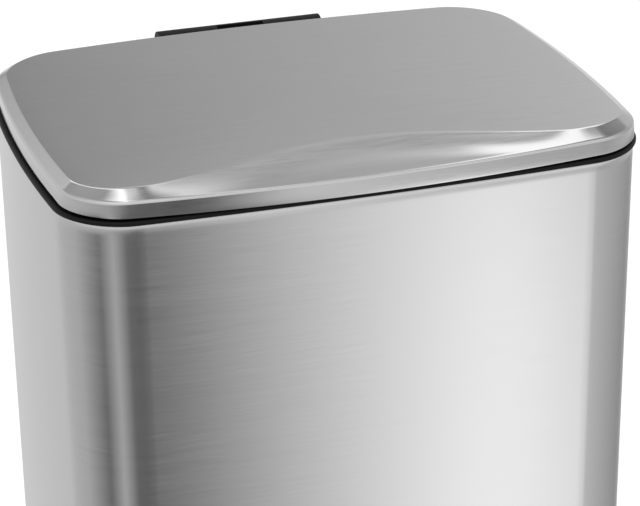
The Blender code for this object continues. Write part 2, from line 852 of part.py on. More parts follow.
def arm_screw_places():
    across = ARM_WIDTH / 2 - screw_edge
    rear = arm_bend_y() - screw_edge
    front = arm_front() + screw_edge
    return [(x, y) for y in (front, rear) for x in (-across, across)]


screw_edge = 0.0075
screw_head_radius = 0.0032
screw_head_height = 0.0016


def arm_front():
    return pivot_y - HINGE_SETBACK - ARM_LENGTH


def arm_bend_y():
    """Where the arm has risen to the liner, clear of the lid's rear rim."""
    return lid_rear - SHEET - CLEARANCE - LINER_THICKNESS - bend_room


bend_room = 0.008
arm_step_run = 0.005


def make_lid_liner():
    """The plastic lining of the lid, with a rim inside the skirt and a gap for the arm."""
    outside = SHEET + CLEARANCE
    section = [
        (outside + LINER_THICKNESS, liner_underside),
        (outside + LINER_THICKNESS, skirt_bottom + CLEARANCE),
        (outside, skirt_bottom + CLEARANCE),
        (outside, liner_top),
    ]
    liner = loft("liner", section_loops(lid_plan, section), first_cap=True, last_cap=True)
    half = ARM_WIDTH / 2 + arm_side_gap
    low = (-half, arm_bend_y(), skirt_bottom - LID_GAP)
    high = (half, lid_rear + CLEARANCE, liner_underside - CLEARANCE)
    cut(liner, box("liner_arm_cut", low, high))
    top = liner_top - CLEARANCE
    low = liner_underside - CUT_OVERRUN
    runs = [((x, y, low), (x, y, top)) for x, y in arm_screw_places()]
    cut(liner, rods("liner_screw_holes", small_screw_radius + CLEARANCE, runs))
    return finish(liner, "lid_liner", GREY, lid_axis)


def make_bumpers():
    """Soft stops under the lining that land on the ring."""
    radius = 0.0026
    inset_middle = 0.0078
    across_shares = (-0.62, -0.56, 0.56, 0.62)
    places = []
    for number, share in enumerate(across_shares):
        x = share * BODY_WIDTH / 2
        front = number in (0, 3)
        bow = (FRONT_BOW if front else REAR_BOW) * (1 - share ** 2)
        y = BODY_DEPTH / 2 + bow - inset_middle
        places.append((x, -y if front else y, ring_top + CLEARANCE))
    height = liner_underside - CLEARANCE - ring_top - CLEARANCE
    profile = [(0, height), (radius, height), (radius, radius / 3), (radius * 0.7, 0), (0, 0)]
    names = ["bumper_front_left", "bumper_rear_left", "bumper_rear_right", "bumper_front_right"]
    turned_set(names, profile, places, ["Z"] * len(names), RUBBER, lid_axis, 12)


def make_lid_arm():
    """The steel arm under the lining, its barrel on the pin and the crank for the rod."""
    thick = ARM_THICKNESS
    low = arm_low_height() - thick / 2
    high = liner_underside - CLEARANCE
    bend = arm_bend_y()
    step = bend + arm_step_run
    outline = [
        (pivot_y, low),
        (pivot_y, low + thick),
        (step, low + thick),
        (bend, high),
        (arm_front(), high),
        (arm_front(), high - thick),
        (bend - thick / 2, high - thick),
        (step - thick / 2, low),
    ]
    arm = plate("arm", outline, ARM_WIDTH, "YZ", (0, 0, 0))
    half = ARM_WIDTH / 2
    barrel = [((-half, pivot_y, pivot_z), (half, pivot_y, pivot_z))]
    join(arm, rods("arm_barrel", barrel_radius, barrel))
    join(arm, make_crank())
    reach = half + CUT_OVERRUN
    bore = [((-reach, pivot_y, pivot_z), (reach, pivot_y, pivot_z))]
    cut(arm, rods("arm_bore", bush_radius + CLEARANCE, bore))
    runs = [((x, y, high - 2 * thick), (x, y, high + thick)) for x, y in arm_screw_places()]
    cut(arm, rods("arm_screw_holes", small_screw_radius + CLEARANCE, runs))
    return finish(arm, "lid_arm", BLACK_STEEL, lid_axis)


barrel_radius = 0.0056
bush_radius = 0.0037


def arm_low_height():
    """The middle of the arm where it passes between the wall's edge and the skirt."""
    return (body_top + skirt_bottom) / 2


def make_crank():
    """The crank: a plate from the barrel toward the rod, with a long slot for the rod's pin."""
    tilt = LID_SWING / 2
    slot_half = CRANK_PIN_RADIUS + SLOT_PLAY
    near = ROD_OFFSET - CRANK_PIN_RADIUS - SLOT_PLAY
    far = ROD_OFFSET / math.cos(tilt) + CRANK_PIN_RADIUS + CLEARANCE
    end = far + crank_rim
    shape = [(0, -crank_half_width)]
    shape += [(end, -crank_half_width), (end, crank_half_width), (0, crank_half_width)]
    slot = [(near, -slot_half), (far, -slot_half), (far, slot_half), (near, slot_half)]

    def along_crank(points):
        placed = []
        for run, side in points:
            y = pivot_y - run * math.cos(tilt) + side * math.sin(tilt)
            z = pivot_z - run * math.sin(tilt) - side * math.cos(tilt)
            placed.append((y, z))
        return placed

    crank = plate("crank", along_crank(shape), CRANK_THICKNESS, "YZ", (0, 0, 0))
    cut(crank, plate("crank_slot", along_crank(slot), 2 * CRANK_THICKNESS, "YZ", (0, 0, 0)))
    return crank


crank_rim = 0.0022


def make_arm_screws():
    """Four screws that hold the arm to the lining."""
    head_top = liner_underside - CLEARANCE - ARM_THICKNESS - CLEARANCE
    reach = liner_top - 3 * CLEARANCE - head_top
    profile = [
        (0, reach),
        (small_screw_radius, reach),
        (small_screw_radius, 0),
        (screw_head_radius, 0),
        (screw_head_radius * 0.8, -screw_head_height),
        (0, -screw_head_height),
    ]
    places = [(x, y, head_top) for x, y in arm_screw_places()]
    names = [f"arm_screw_{number}" for number in range(1, len(places) + 1)]
    turned_set(names, profile, places, ["Z"] * len(names), ZINC, lid_axis, 12)


def make_bracket_screws():
    """Two screws through the bracket's tabs into the wall."""
    half = ARM_WIDTH / 2 + bush_flange + 2 * CLEARANCE + bracket_sheet + bracket_tab
    face = body_rear + CLEARANCE + bracket_sheet + CLEARANCE
    screw_x = half - bracket_tab / 2
    reach = face - body_rear
    profile = [
        (0, screw_head_height),
        (screw_head_radius * 0.8, screw_head_height),
        (screw_head_radius, 0),
        (small_screw_radius, 0),
        (small_screw_radius, -reach),
        (0, -reach),
    ]
    places = [(side * screw_x, face, screw_height) for side in (-1, 1)]
    names = ["bracket_screw_left", "bracket_screw_right"]
    turned_set(names, profile, places, ["Y", "Y"], ZINC, frame, 12)


def make_bushes():
    """Flanged nylon bushes pressed into both ends of the arm's barrel."""
    inner = PIN_RADIUS + CLEARANCE
    half = ARM_WIDTH / 2
    profile = [
        (barrel_radius - CLEARANCE, bush_flange),
        (barrel_radius - CLEARANCE, 0),
        (bush_radius, 0),
        (bush_radius, -bush_length),
        (inner, -bush_length),
        (inner, bush_flange),
    ]
    gap = half + CLEARANCE
    names = ["hinge_bush_left", "hinge_bush_right"]
    places = [(-gap, pivot_y, pivot_z), (gap, pivot_y, pivot_z)]
    turned_set(names, profile, places, ["-X", "X"], NYLON, lid_axis)


bush_length = 0.006


def lever_line():
    """The lever's middle line from its front end to its rear end, as (y, z)."""
    rear_y = rod_y + lever_rear_overlap
    slope = (AXLE_HEIGHT - LEVER_REAR_HEIGHT) / (rod_y - axle_y)
    rear_z = LEVER_REAR_HEIGHT - slope * lever_rear_overlap
    front = pedal_front + lever_front_gap
    return [(front, AXLE_HEIGHT), (axle_y, AXLE_HEIGHT), (rear_y, rear_z)]


lever_rear_overlap = 0.0025
lever_front_gap = 0.004
lever_hub_radius = 0.0062


def make_lever():
    """The pedal's lever: a steel strip bent down behind its axle, with a hub on the axle."""
    half = LEVER_THICKNESS / 2
    line = lever_line()
    outline = [(y, z + half) for y, z in line] + [(y, z - half) for y, z in reversed(line)]
    lever = plate("lever", outline, LEVER_WIDTH, "YZ", (0, 0, 0))
    half = LEVER_WIDTH / 2
    hub = [((-half, axle_y, AXLE_HEIGHT), (half, axle_y, AXLE_HEIGHT))]
    join(lever, rods("lever_hub", lever_hub_radius, hub))
    reach = half + CUT_OVERRUN
    bore = [((-reach, axle_y, AXLE_HEIGHT), (reach, axle_y, AXLE_HEIGHT))]
    cut(lever, rods("lever_bore", lever_bush_radius + CLEARANCE, bore))
    for x, y in rivet_places():
        low = AXLE_HEIGHT - 2 * LEVER_THICKNESS
        run = [((x, y, low), (x, y, AXLE_HEIGHT + 2 * LEVER_THICKNESS))]
        cut(lever, rods("lever_rivet_hole", rivet_radius + CLEARANCE, run, 12))
    return finish(lever, "pedal_lever", BLACK_STEEL, pedal_axis)


lever_bush_radius = 0.0040
rivet_radius = 0.0020


def rivet_places():
    middle = pedal_front + PEDAL_DEPTH / 2
    across = LEVER_WIDTH / 4
    return [(-across, middle), (across, middle)]


def make_lever_bushes():
    """Plastic bushes between the axle and both ends of the lever's hub."""
    inner = AXLE_RADIUS + CLEARANCE
    half = LEVER_WIDTH / 2
    flange = bush_flange
    profile = [
        (lever_hub_radius, flange),
        (lever_hub_radius, 0),
        (lever_bush_radius, 0),
        (lever_bush_radius, -bush_length),
        (inner, -bush_length),
        (inner, flange),
    ]
    gap = half + CLEARANCE
    places = [(-gap, axle_y, AXLE_HEIGHT), (gap, axle_y, AXLE_HEIGHT)]
    names = ["lever_bush_left", "lever_bush_right"]
    turned_set(names, profile, places, ["-X", "X"], NYLON, pedal_axis)


def make_axle():
    """The pedal's axle in the base's ribs, with a spacer tube each side and a clip at each end."""
    rib = rib_thickness
    reach = AXLE_SPAN / 2 + clip_thickness + 3 * CLEARANCE
    run = [((-reach, axle_y, AXLE_HEIGHT), (reach, axle_y, AXLE_HEIGHT))]
    finish(rods("axle", AXLE_RADIUS, run), "pedal_axle", ZINC, frame)
    near = AXLE_SPAN / 2 - rib / 2 + CLEARANCE
    inner = AXLE_RADIUS + CLEARANCE
    profile = [
        (inner + clip_width, clip_thickness),
        (inner + clip_width, 0),
        (inner, 0),
        (inner, clip_thickness),
    ]
    places = [(-near, axle_y, AXLE_HEIGHT), (near, axle_y, AXLE_HEIGHT)]
    turned_set(["axle_clip_left", "axle_clip_right"], profile, places, ["-X", "X"], ZINC, frame)
    inside_rib = AXLE_SPAN / 2 - 1.5 * rib - CLEARANCE
    outside_hub = LEVER_WIDTH / 2 + bush_flange + 2 * CLEARANCE
    length = inside_rib - outside_hub
    tube = inner + clip_width
    profile = [(tube, length), (tube, 0), (inner, 0), (inner, length)]
    places = [(-outside_hub, axle_y, AXLE_HEIGHT), (outside_hub, axle_y, AXLE_HEIGHT)]
    turned_set(["axle_spacer_left", "axle_spacer_right"], profile, places, ["-X", "X"], BLACK, frame)


def pedal_outline(width, depth, radius):
    """A flat rectangle with round corners around its own middle."""
    points = []
    for number in range(4):
        across = (1, -1, -1, 1)[number] * (width / 2 - radius)
        along = (1, 1, -1, -1)[number] * (depth / 2 - radius)
        for step in range(ARC_STEPS + 1):
            angle = math.pi / 2 * (number + step / ARC_STEPS)
            points.append((across + radius * math.cos(angle), along + radius * math.sin(angle)))
    return points


pedal_corner_radius = 0.012
tread_edge = 0.004
tread_thickness = 0.002
tread_rib_height = 0.001
tread_rib_count = 6


def make_pedal():
    """The steel foot plate riveted to the lever, and the ribbed rubber pad on it."""
    middle_y = pedal_front + PEDAL_DEPTH / 2
    low = AXLE_HEIGHT + LEVER_THICKNESS / 2 + CLEARANCE
    outline = pedal_outline(PEDAL_WIDTH, PEDAL_DEPTH, pedal_corner_radius)
    foot = plate("pedal", outline, PEDAL_THICKNESS, "XY", (0, middle_y, low + PEDAL_THICKNESS / 2))
    for x, y in rivet_places():
        run = [((x, y, low - PEDAL_THICKNESS), (x, y, low + 2 * PEDAL_THICKNESS))]
        cut(foot, rods("pedal_rivet_hole", rivet_radius + CLEARANCE, run, 12))
    finish(foot, "pedal_plate", STEEL, pedal_axis)
    tread_low = low + PEDAL_THICKNESS + CLEARANCE
    tread_width = PEDAL_WIDTH - 2 * tread_edge
    tread_depth = PEDAL_DEPTH - 2 * tread_edge
    outline = pedal_outline(tread_width, tread_depth, pedal_corner_radius - tread_edge)
    tread = plate("tread", outline, tread_thickness, "XY", (0, middle_y, tread_low + tread_thickness / 2))
    pitch = tread_depth / (tread_rib_count + 1)
    rib_half = (tread_width - 2 * pedal_corner_radius) / 2
    for number in range(tread_rib_count):
        y = middle_y - tread_depth / 2 + pitch * (number + 1)
        high = tread_low + tread_thickness + tread_rib_height
        corner = (rib_half, y + pitch / 5, high)
        join(tread, box("tread_rib", (-rib_half, y - pitch / 5, tread_low + tread_thickness / 2), corner))
    for x, y in rivet_places():
        run = [((x, y, tread_low - tread_thickness), (x, y, tread_low + rivet_head_height + CLEARANCE))]
        cut(tread, rods("tread_rivet_room", rivet_head_radius + CLEARANCE, run, 12))
    finish(tread, "pedal_tread", RUBBER, pedal_axis)
    profile = [
        (0, rivet_head_height),
        (rivet_head_radius, rivet_head_height),
        (rivet_head_radius, CLEARANCE),
        (rivet_radius, CLEARANCE),
        (rivet_radius, -PEDAL_THICKNESS - LEVER_THICKNESS - 2 * CLEARANCE),
        (rivet_head_radius, -PEDAL_THICKNESS - LEVER_THICKNESS - 2 * CLEARANCE),
        (rivet_head_radius, -PEDAL_THICKNESS - LEVER_THICKNESS - rivet_head_height),
        (0, -PEDAL_THICKNESS - LEVER_THICKNESS - rivet_head_height),
    ]
    places = [(x, y, low + PEDAL_THICKNESS) for x, y in rivet_places()]
    turned_set(["pedal_rivet_left", "pedal_rivet_right"], profile, places, ["Z", "Z"], ZINC, pedal_axis, 12)


rivet_head_radius = 0.0036
rivet_head_height = 0.0012
fork_depth = 0.008


def make_rod():
    """The push rod with its foot below, its fork and pin above, and the damper's plunger."""
    foot_low = LEVER_REAR_HEIGHT + LEVER_THICKNESS / 2 + foot_gap
    foot_height = 0.012
    foot_edge = 0.0015
    hole = ROD_RADIUS + CLEARANCE
    profile = [
        (0, 0),
        (rod_foot_radius - foot_edge, 0),
        (rod_foot_radius, foot_edge),
        (rod_foot_radius, foot_height),
        (hole, foot_height),
        (hole, foot_edge * 2),
        (0, foot_edge * 2),
    ]
    finish(turned("foot", profile, (0, rod_y, foot_low)), "rod_foot", NYLON, rod_axis)
    rod_low = foot_low + foot_edge * 2 + CLEARANCE
    rod_high = crank_pin_z - fork_length + fork_seat
    run = [((0, rod_y, rod_low), (0, rod_y, rod_high))]
    finish(rods("rod", ROD_RADIUS, run), "push_rod", ZINC, rod_axis)
    slot_half = CRANK_THICKNESS / 2 + 2 * CLEARANCE
    half = slot_half + fork_wall
    fork_top = crank_pin_z + CRANK_PIN_RADIUS + fork_wall
    low = crank_pin_z - fork_length
    fork = box("fork", (-half, rod_y - fork_depth / 2, low), (half, rod_y + fork_depth / 2, fork_top))
    slot_low = low + fork_seat + 2 * CLEARANCE
    corner = (slot_half, rod_y + fork_depth, fork_top + fork_wall)
    cut(fork, box("fork_slot", (-slot_half, rod_y - fork_depth, slot_low), corner))
    run = [((0, rod_y, low - fork_wall), (0, rod_y, rod_high + CLEARANCE))]
    cut(fork, rods("fork_seat", ROD_RADIUS + CLEARANCE, run))
    run = [((-2 * half, rod_y, crank_pin_z), (2 * half, rod_y, crank_pin_z))]
    cut(fork, rods("fork_pin_hole", CRANK_PIN_RADIUS + CLEARANCE, run, 12))
    finish(fork, "rod_fork", ZINC, rod_axis)
    reach = half + CLEARANCE
    run = [((-reach, rod_y, crank_pin_z), (reach, rod_y, crank_pin_z))]
    finish(rods("crank_pin", CRANK_PIN_RADIUS, run, 12), "rod_pin", ZINC, rod_axis)
    make_plunger()


def make_plunger():
    """The damper's plunger on an arm that is clamped to the rod."""
    arm_height = 0.005
    high = damper_low() + damper_length + rod_travel / 2
    arm_half = plunger_radius + fork_wall
    low_corner = (-arm_half - ROD_RADIUS, rod_y - arm_half, high)
    high_corner = (damper_x + arm_half, rod_y + arm_half, high + arm_height)
    clamp = box("plunger", low_corner, high_corner)
    depth = high - damper_length * plunger_share
    run = [((damper_x, rod_y, depth), (damper_x, rod_y, high + arm_height / 2))]
    join(clamp, rods("plunger_rod", plunger_radius, run))
    run = [((0, rod_y, high - arm_height), (0, rod_y, high + 2 * arm_height))]
    cut(clamp, rods("clamp_bore", ROD_RADIUS + CLEARANCE, run))
    finish(clamp, "damper_plunger", ZINC, rod_axis)


foot_gap = 0.0006
fork_length = 0.034
fork_seat = 0.010
plunger_share = 0.8

make_body_shell()
make_top_ring()
make_inner_bucket()
make_base()
make_feet()
make_rod_channel()
make_guides()
make_damper()
make_hinge_bracket()
make_hinge_pin()
make_bracket_screws()
make_hinge_cover()
make_lid_shell()
make_lid_liner()
make_bumpers()
make_lid_arm()
make_arm_screws()
make_bushes()
make_lever()
make_lever_bushes()
make_axle()
make_pedal()
make_rod()
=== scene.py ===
import json
import math

import bmesh
import bpy
from mathutils import Matrix, Vector


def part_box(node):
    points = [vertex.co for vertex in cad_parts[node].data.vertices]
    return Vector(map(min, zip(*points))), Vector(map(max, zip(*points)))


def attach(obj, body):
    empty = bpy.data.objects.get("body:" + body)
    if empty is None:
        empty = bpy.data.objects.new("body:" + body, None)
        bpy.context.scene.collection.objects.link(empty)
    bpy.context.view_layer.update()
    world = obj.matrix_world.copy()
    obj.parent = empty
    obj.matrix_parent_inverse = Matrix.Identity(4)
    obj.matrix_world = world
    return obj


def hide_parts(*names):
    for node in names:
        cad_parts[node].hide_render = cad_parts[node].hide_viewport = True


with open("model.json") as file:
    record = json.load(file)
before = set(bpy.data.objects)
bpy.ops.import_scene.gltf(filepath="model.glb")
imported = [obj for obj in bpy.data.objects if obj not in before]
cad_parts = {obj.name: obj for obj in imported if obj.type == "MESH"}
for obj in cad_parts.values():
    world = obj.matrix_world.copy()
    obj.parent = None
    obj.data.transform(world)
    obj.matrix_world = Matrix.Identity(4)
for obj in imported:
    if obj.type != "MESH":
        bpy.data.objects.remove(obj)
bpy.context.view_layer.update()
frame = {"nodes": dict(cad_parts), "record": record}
print("frame loaded:", len(frame["nodes"]), "nodes")

# Plans of the wall and the lid: round corners and four bowed sides, as the solids have

plans = {
    "sideBow": 0.009,
    "rearBow": 0.0115,
    "wall": {"width": 0.382, "depth": 0.279, "frontRadius": 0.039, "rearRadius": 0.057, "frontBow": 0.0055},
    "lid": {"width": 0.3802, "depth": 0.2772, "frontRadius": 0.033, "rearRadius": 0.044, "frontBow": 0.0125},
    "arcSteps": 16,
    "frontSteps": 60,
    "sideSteps": 24,
    "rearSteps": 40,
}

wallLow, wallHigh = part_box("body_shell")
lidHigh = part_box("lid_shell")[1]
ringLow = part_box("top_ring")[0]
coverLow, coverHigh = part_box("hinge_cover")
middleY = wallHigh.y - plans["rearBow"] - plans["wall"]["depth"] / 2


def bowed(x, y, plan):
    across = 2 * x / plan["width"]
    along = 2 * y / plan["depth"]
    bow = plans["rearBow"] if y > 0 else plan["frontBow"]
    return Vector((x + plans["sideBow"] * (1 - along ** 2) * across, y + bow * (1 - across ** 2) * along))


def planPoints(plan):
    halfWidth, halfDepth = plan["width"] / 2, plan["depth"] / 2
    corners = [
        (1, 1, plan["rearRadius"], plans["rearSteps"]),
        (-1, 1, plan["rearRadius"], plans["sideSteps"]),
        (-1, -1, plan["frontRadius"], plans["frontSteps"]),
        (1, -1, plan["frontRadius"], plans["sideSteps"]),
    ]
    arcs = []
    for number, (across, along, radius, _) in enumerate(corners):
        centre = Vector((across * (halfWidth - radius), along * (halfDepth - radius)))
        turns = [math.pi / 2 * (number + step / plans["arcSteps"]) for step in range(plans["arcSteps"] + 1)]
        arcs.append([centre + radius * Vector((math.cos(turn), math.sin(turn))) for turn in turns])
    points = []
    for number, arc in enumerate(arcs):
        after = arcs[(number + 1) % len(arcs)][0]
        steps = corners[number][3]
        points += arc + [arc[-1].lerp(after, step / steps) for step in range(1, steps)]
    return [bowed(point.x, point.y, plan) for point in points]


def outwardNormals(points):
    directions = []
    for number, point in enumerate(points):
        after = (points[(number + 1) % len(points)] - point).normalized()
        before = (point - points[number - 1]).normalized()
        along = after + before
        directions.append(Vector((along.y, -along.x)).normalized())
    return directions


wallPlan = planPoints(plans["wall"])
wallNormals = outwardNormals(wallPlan)
lidPlan = planPoints(plans["lid"])
lidNormals = outwardNormals(lidPlan)


# Mesh helpers

smoothAngles = {"solid": 32, "piece": 35, "lid": 50}
softening = {"weld": 0.00002, "flatAngle": 2, "segments": 2, "sharpAngle": 40, "normalWeight": 100}


def plainMesh(bm, name):
    mesh = bpy.data.meshes.new(name)
    bm.to_mesh(mesh)
    bm.free()
    return mesh


def newObject(name, data):
    obj = bpy.data.objects.new(name, data)
    bpy.context.scene.collection.objects.link(obj)
    return obj


def skinLoops(name, loops, closed=False, lastCap=False, firstCap=False):
    # loops of world points, all with the same count
    bm = bmesh.new()
    rings = [[bm.verts.new(point) for point in loop] for loop in loops]
    pairs = list(zip(rings, rings[1:])) + ([(rings[-1], rings[0])] if closed else [])
    for low, high in pairs:
        for number in range(len(low)):
            after = (number + 1) % len(low)
            bm.faces.new((low[number], low[after], high[after], high[number]))
    if firstCap:
        bm.faces.new(list(reversed(rings[0])))
    if lastCap:
        bm.faces.new(rings[-1])
    bmesh.ops.recalc_face_normals(bm, faces=bm.faces)
    return plainMesh(bm, name)


def sectionLoops(points, normals, section):
    # a section of (inset, height) points carried round a plan
    loops = []
    for inset, height in section:
        loop = []
        for point, normal in zip(points, normals):
            moved = point - normal * inset
            loop.append((moved.x, moved.y + middleY, height))
        loops.append(loop)
    return loops


def arcSection(centre, radius, start, end, steps):
    # points of an arc in a section, angles in degrees; 0 points inward, 90 up
    points = []
    for step in range(steps + 1):
        turn = math.radians(start + (end - start) * step / steps)
        points.append((centre[0] + radius * math.cos(turn), centre[1] + radius * math.sin(turn)))
    return points


def quarterTurns(steps):
    return [math.pi / 2 * step / steps for step in range(steps + 1)]


def addPiece(name, mesh, body, slot, nodes=(), material=None, smooth="piece"):
    obj = newObject(name, mesh)
    mesh.materials.clear()
    mesh.materials.append(material or slotMaterials[slot])
    if not mesh.has_custom_normals:
        mesh.shade_smooth()
        mesh.set_sharp_from_angle(angle=math.radians(smoothAngles[smooth]))
    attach(obj, body)
    if nodes:
        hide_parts(*nodes)
    return obj


def withModifiers(name, mesh, setUp):
    # runs modifiers on a mesh and gives back the plain result
    obj = newObject(name, mesh)
    setUp(obj)
    bpy.context.view_layer.update()
    evaluated = obj.evaluated_get(bpy.context.evaluated_depsgraph_get())
    result = bpy.data.meshes.new_from_object(evaluated)
    bpy.data.objects.remove(obj)
    bpy.data.meshes.remove(mesh)
    result.name = name
    return result


def boxMesh(name, low, high):
    bm = bmesh.new()
    bmesh.ops.create_cube(bm, size=1)
    size = Vector(high) - Vector(low)
    bmesh.ops.transform(bm, matrix=Matrix.Diagonal(size).to_4x4(), verts=bm.verts)
    bmesh.ops.translate(bm, vec=(Vector(low) + Vector(high)) / 2, verts=bm.verts)
    return plainMesh(bm, name)


def cutOut(mesh, name, cutters):
    # cuts boxes out of a closed mesh
    tools = []

    def setUp(obj):
        for number, (low, high) in enumerate(cutters):
            tool = newObject("cutTool", boxMesh("cutTool", low, high))
            tools.append(tool)
            boolean = obj.modifiers.new(f"cut{number}", "BOOLEAN")
            boolean.operation = "DIFFERENCE"
            boolean.object = tool

    result = withModifiers(name, mesh, setUp)
    for tool in tools:
        bpy.data.objects.remove(tool)
    return result


def softened(node, width):
    # a copy of a solid with its sharp edges rounded
    bm = bmesh.new()
    bm.from_mesh(frame["nodes"][node].data)
    bmesh.ops.remove_doubles(bm, verts=bm.verts, dist=softening["weld"])
    flatAngle = math.radians(softening["flatAngle"])
    bmesh.ops.dissolve_limit(bm, angle_limit=flatAngle, verts=bm.verts, edges=bm.edges)
    mesh = plainMesh(bm, node + "_soft")
    mesh.shade_smooth()

    def setUp(obj):
        bevel = obj.modifiers.new("edge", "BEVEL")
        bevel.width = width
        bevel.segments = softening["segments"]
        bevel.limit_method = "ANGLE"
        bevel.angle_limit = math.radians(softening["sharpAngle"])
        bevel.miter_outer = "MITER_ARC"
        bevel.use_clamp_overlap = True
        # keeps the flat faces even in shade
        normals = obj.modifiers.new("flatFaces", "WEIGHTED_NORMAL")
        normals.weight = softening["normalWeight"]

    return withModifiers(node + "_soft", mesh, setUp)


# Node helpers for materials


class NodeBoard:
    def __init__(self, tree):
        self.tree = tree

    def add(self, kind, **settings):
        node = self.tree.nodes.new(kind)
        inputs = settings.pop("inputs", {})
        for name, value in settings.items():
            setattr(node, name, value)
        for name, value in inputs.items():
            if isinstance(value, bpy.types.NodeSocket):
                self.link(value, node.inputs[name])
            else:
                node.inputs[name].default_value = value
        return node

    def link(self, value, socket):
        self.tree.links.new(value, socket)

    def math(self, operation, first, second=None):
        values = {0: first}
        if second is not None:
            values[1] = second
        return self.add("ShaderNodeMath", operation=operation, inputs=values).outputs[0]

    def step(self, value, low, high):
        inputs = {"Value": value, "From Min": float(low), "From Max": float(high)}
        return self.add("ShaderNodeMapRange", interpolation_type="SMOOTHSTEP", inputs=inputs).outputs[0]

    def blend(self, factor, first, second, kind="MIX"):
        # 0, 6 and 7 are the Mix node's factor and its two colours
        mix = self.add("ShaderNodeMix", data_type="RGBA", blend_type=kind)
        for place, value in ((0, factor), (6, first), (7, second)):
            if isinstance(value, bpy.types.NodeSocket):
                self.link(value, mix.inputs[place])
            else:
                mix.inputs[place].default_value = value
        return mix.outputs[2]

    def noise(self, vector, scale, detail):
        inputs = {"Vector": vector, "Scale": scale, "Detail": detail}
        return self.add("ShaderNodeTexNoise", inputs=inputs).outputs["Fac"]

    def bump(self, height, depth):
        inputs = {"Height": height, "Distance": depth, "Strength": 1.0}
        return self.add("ShaderNodeBump", inputs=inputs).outputs["Normal"]

    def ramp(self, factor, stops):
        node = self.add("ShaderNodeValToRGB", inputs={"Fac": factor})
        while len(node.color_ramp.elements) > 1:
            node.color_ramp.elements.remove(node.color_ramp.elements[-1])
        for number, (place, shade) in enumerate(stops):
            colour = (shade, shade, shade, 1)
            if number == 0:
                node.color_ramp.elements[0].position = place
                node.color_ramp.elements[0].color = colour
            else:
                node.color_ramp.elements.new(place).color = colour
        return node.outputs["Color"]


def newGroup(name, inputs, outputs):
    tree = bpy.data.node_groups.new(name, "ShaderNodeTree")
    for label, kind, value in inputs:
        socket = tree.interface.new_socket(label, in_out="INPUT", socket_type="NodeSocket" + kind)
        if value is not None:
            socket.default_value = value
    for label, kind in outputs:
        tree.interface.new_socket(label, in_out="OUTPUT", socket_type="NodeSocket" + kind)
    board = NodeBoard(tree)
    return board, board.add("NodeGroupInput"), board.add("NodeGroupOutput")


brushed = {"fineDetail": 4.0, "wideScale": 0.16, "wideDetail": 3.0, "roughShare": 1.2}
moulded = {
    "stippleDetail": 2.0,
    "cloudScale": 22.0,
    "cloudDetail": 5.0,
    "cloudShare": 0.25,
    "wornFrom": 0.51,
    "wornTo": 0.58,
}


def brushedGrainGroup(values):
    board, given, out = newGroup(
        "brushedGrain",
        [
            ("Vector", "Vector", None),
            ("Roughness", "Float", 0.3),
            ("Spread", "Float", 0.1),
            ("Bands", "Float", 0.4),
            ("Depth", "Float", 0.00002),
        ],
        [("Tint", "Float"), ("Roughness", "Float"), ("Normal", "Vector")],
    )
    fine = board.noise(given.outputs["Vector"], 1.0, values["fineDetail"])
    wide = board.noise(given.outputs["Vector"], values["wideScale"], values["wideDetail"])
    grain = board.math("SUBTRACT", fine, 0.5)
    bands = board.math("MULTIPLY", board.math("SUBTRACT", wide, 0.5), given.outputs["Bands"])
    change = board.math("MULTIPLY", board.math("ADD", grain, bands), given.outputs["Spread"])
    rougher = board.math("MULTIPLY", change, values["roughShare"])
    board.link(board.math("ADD", 1.0, change), out.inputs["Tint"])
    board.link(board.math("ADD", given.outputs["Roughness"], rougher), out.inputs["Roughness"])
    board.link(board.bump(fine, given.outputs["Depth"]), out.inputs["Normal"])
    return board.tree


def mouldedGrainGroup(values):
    board, given, out = newGroup(
        "mouldedGrain",
        [
            ("Vector", "Vector", None),
            ("Size", "Float", 1400.0),
            ("Roughness", "Float", 0.45),
            ("Depth", "Float", 0.00004),
        ],
        [("Wear", "Float"), ("Roughness", "Float"), ("Normal", "Vector")],
    )
    stipple = board.noise(given.outputs["Vector"], given.outputs["Size"], values["stippleDetail"])
    cloud = board.noise(given.outputs["Vector"], values["cloudScale"], values["cloudDetail"])
    shift = board.math("MULTIPLY", board.math("SUBTRACT", cloud, 0.5), values["cloudShare"])
    board.link(board.math("ADD", given.outputs["Roughness"], shift), out.inputs["Roughness"])
    board.link(board.bump(stipple, given.outputs["Depth"]), out.inputs["Normal"])
    edge = board.add("ShaderNodeNewGeometry").outputs["Pointiness"]
    sharp = board.add(
        "ShaderNodeMapRange",
        inputs={"Value": edge, "From Min": values["wornFrom"], "From Max": values["wornTo"]},
    )
    board.link(board.math("MULTIPLY", sharp.outputs[0], cloud), out.inputs["Wear"])
    return board.tree


brushedGrain = brushedGrainGroup(brushed)
mouldedGrain = mouldedGrainGroup(moulded)


def newMaterial(name):
    material = bpy.data.materials.new(name)
    material.use_nodes = True
    return material, NodeBoard(material.node_tree), material.node_tree.nodes["Principled BSDF"]


def placeGroup(board, tree, vector, values):
    node = board.add("ShaderNodeGroup", node_tree=tree)
    board.link(vector, node.inputs["Vector"])
    for name, value in values.items():
        node.inputs[name].default_value = value
    return node


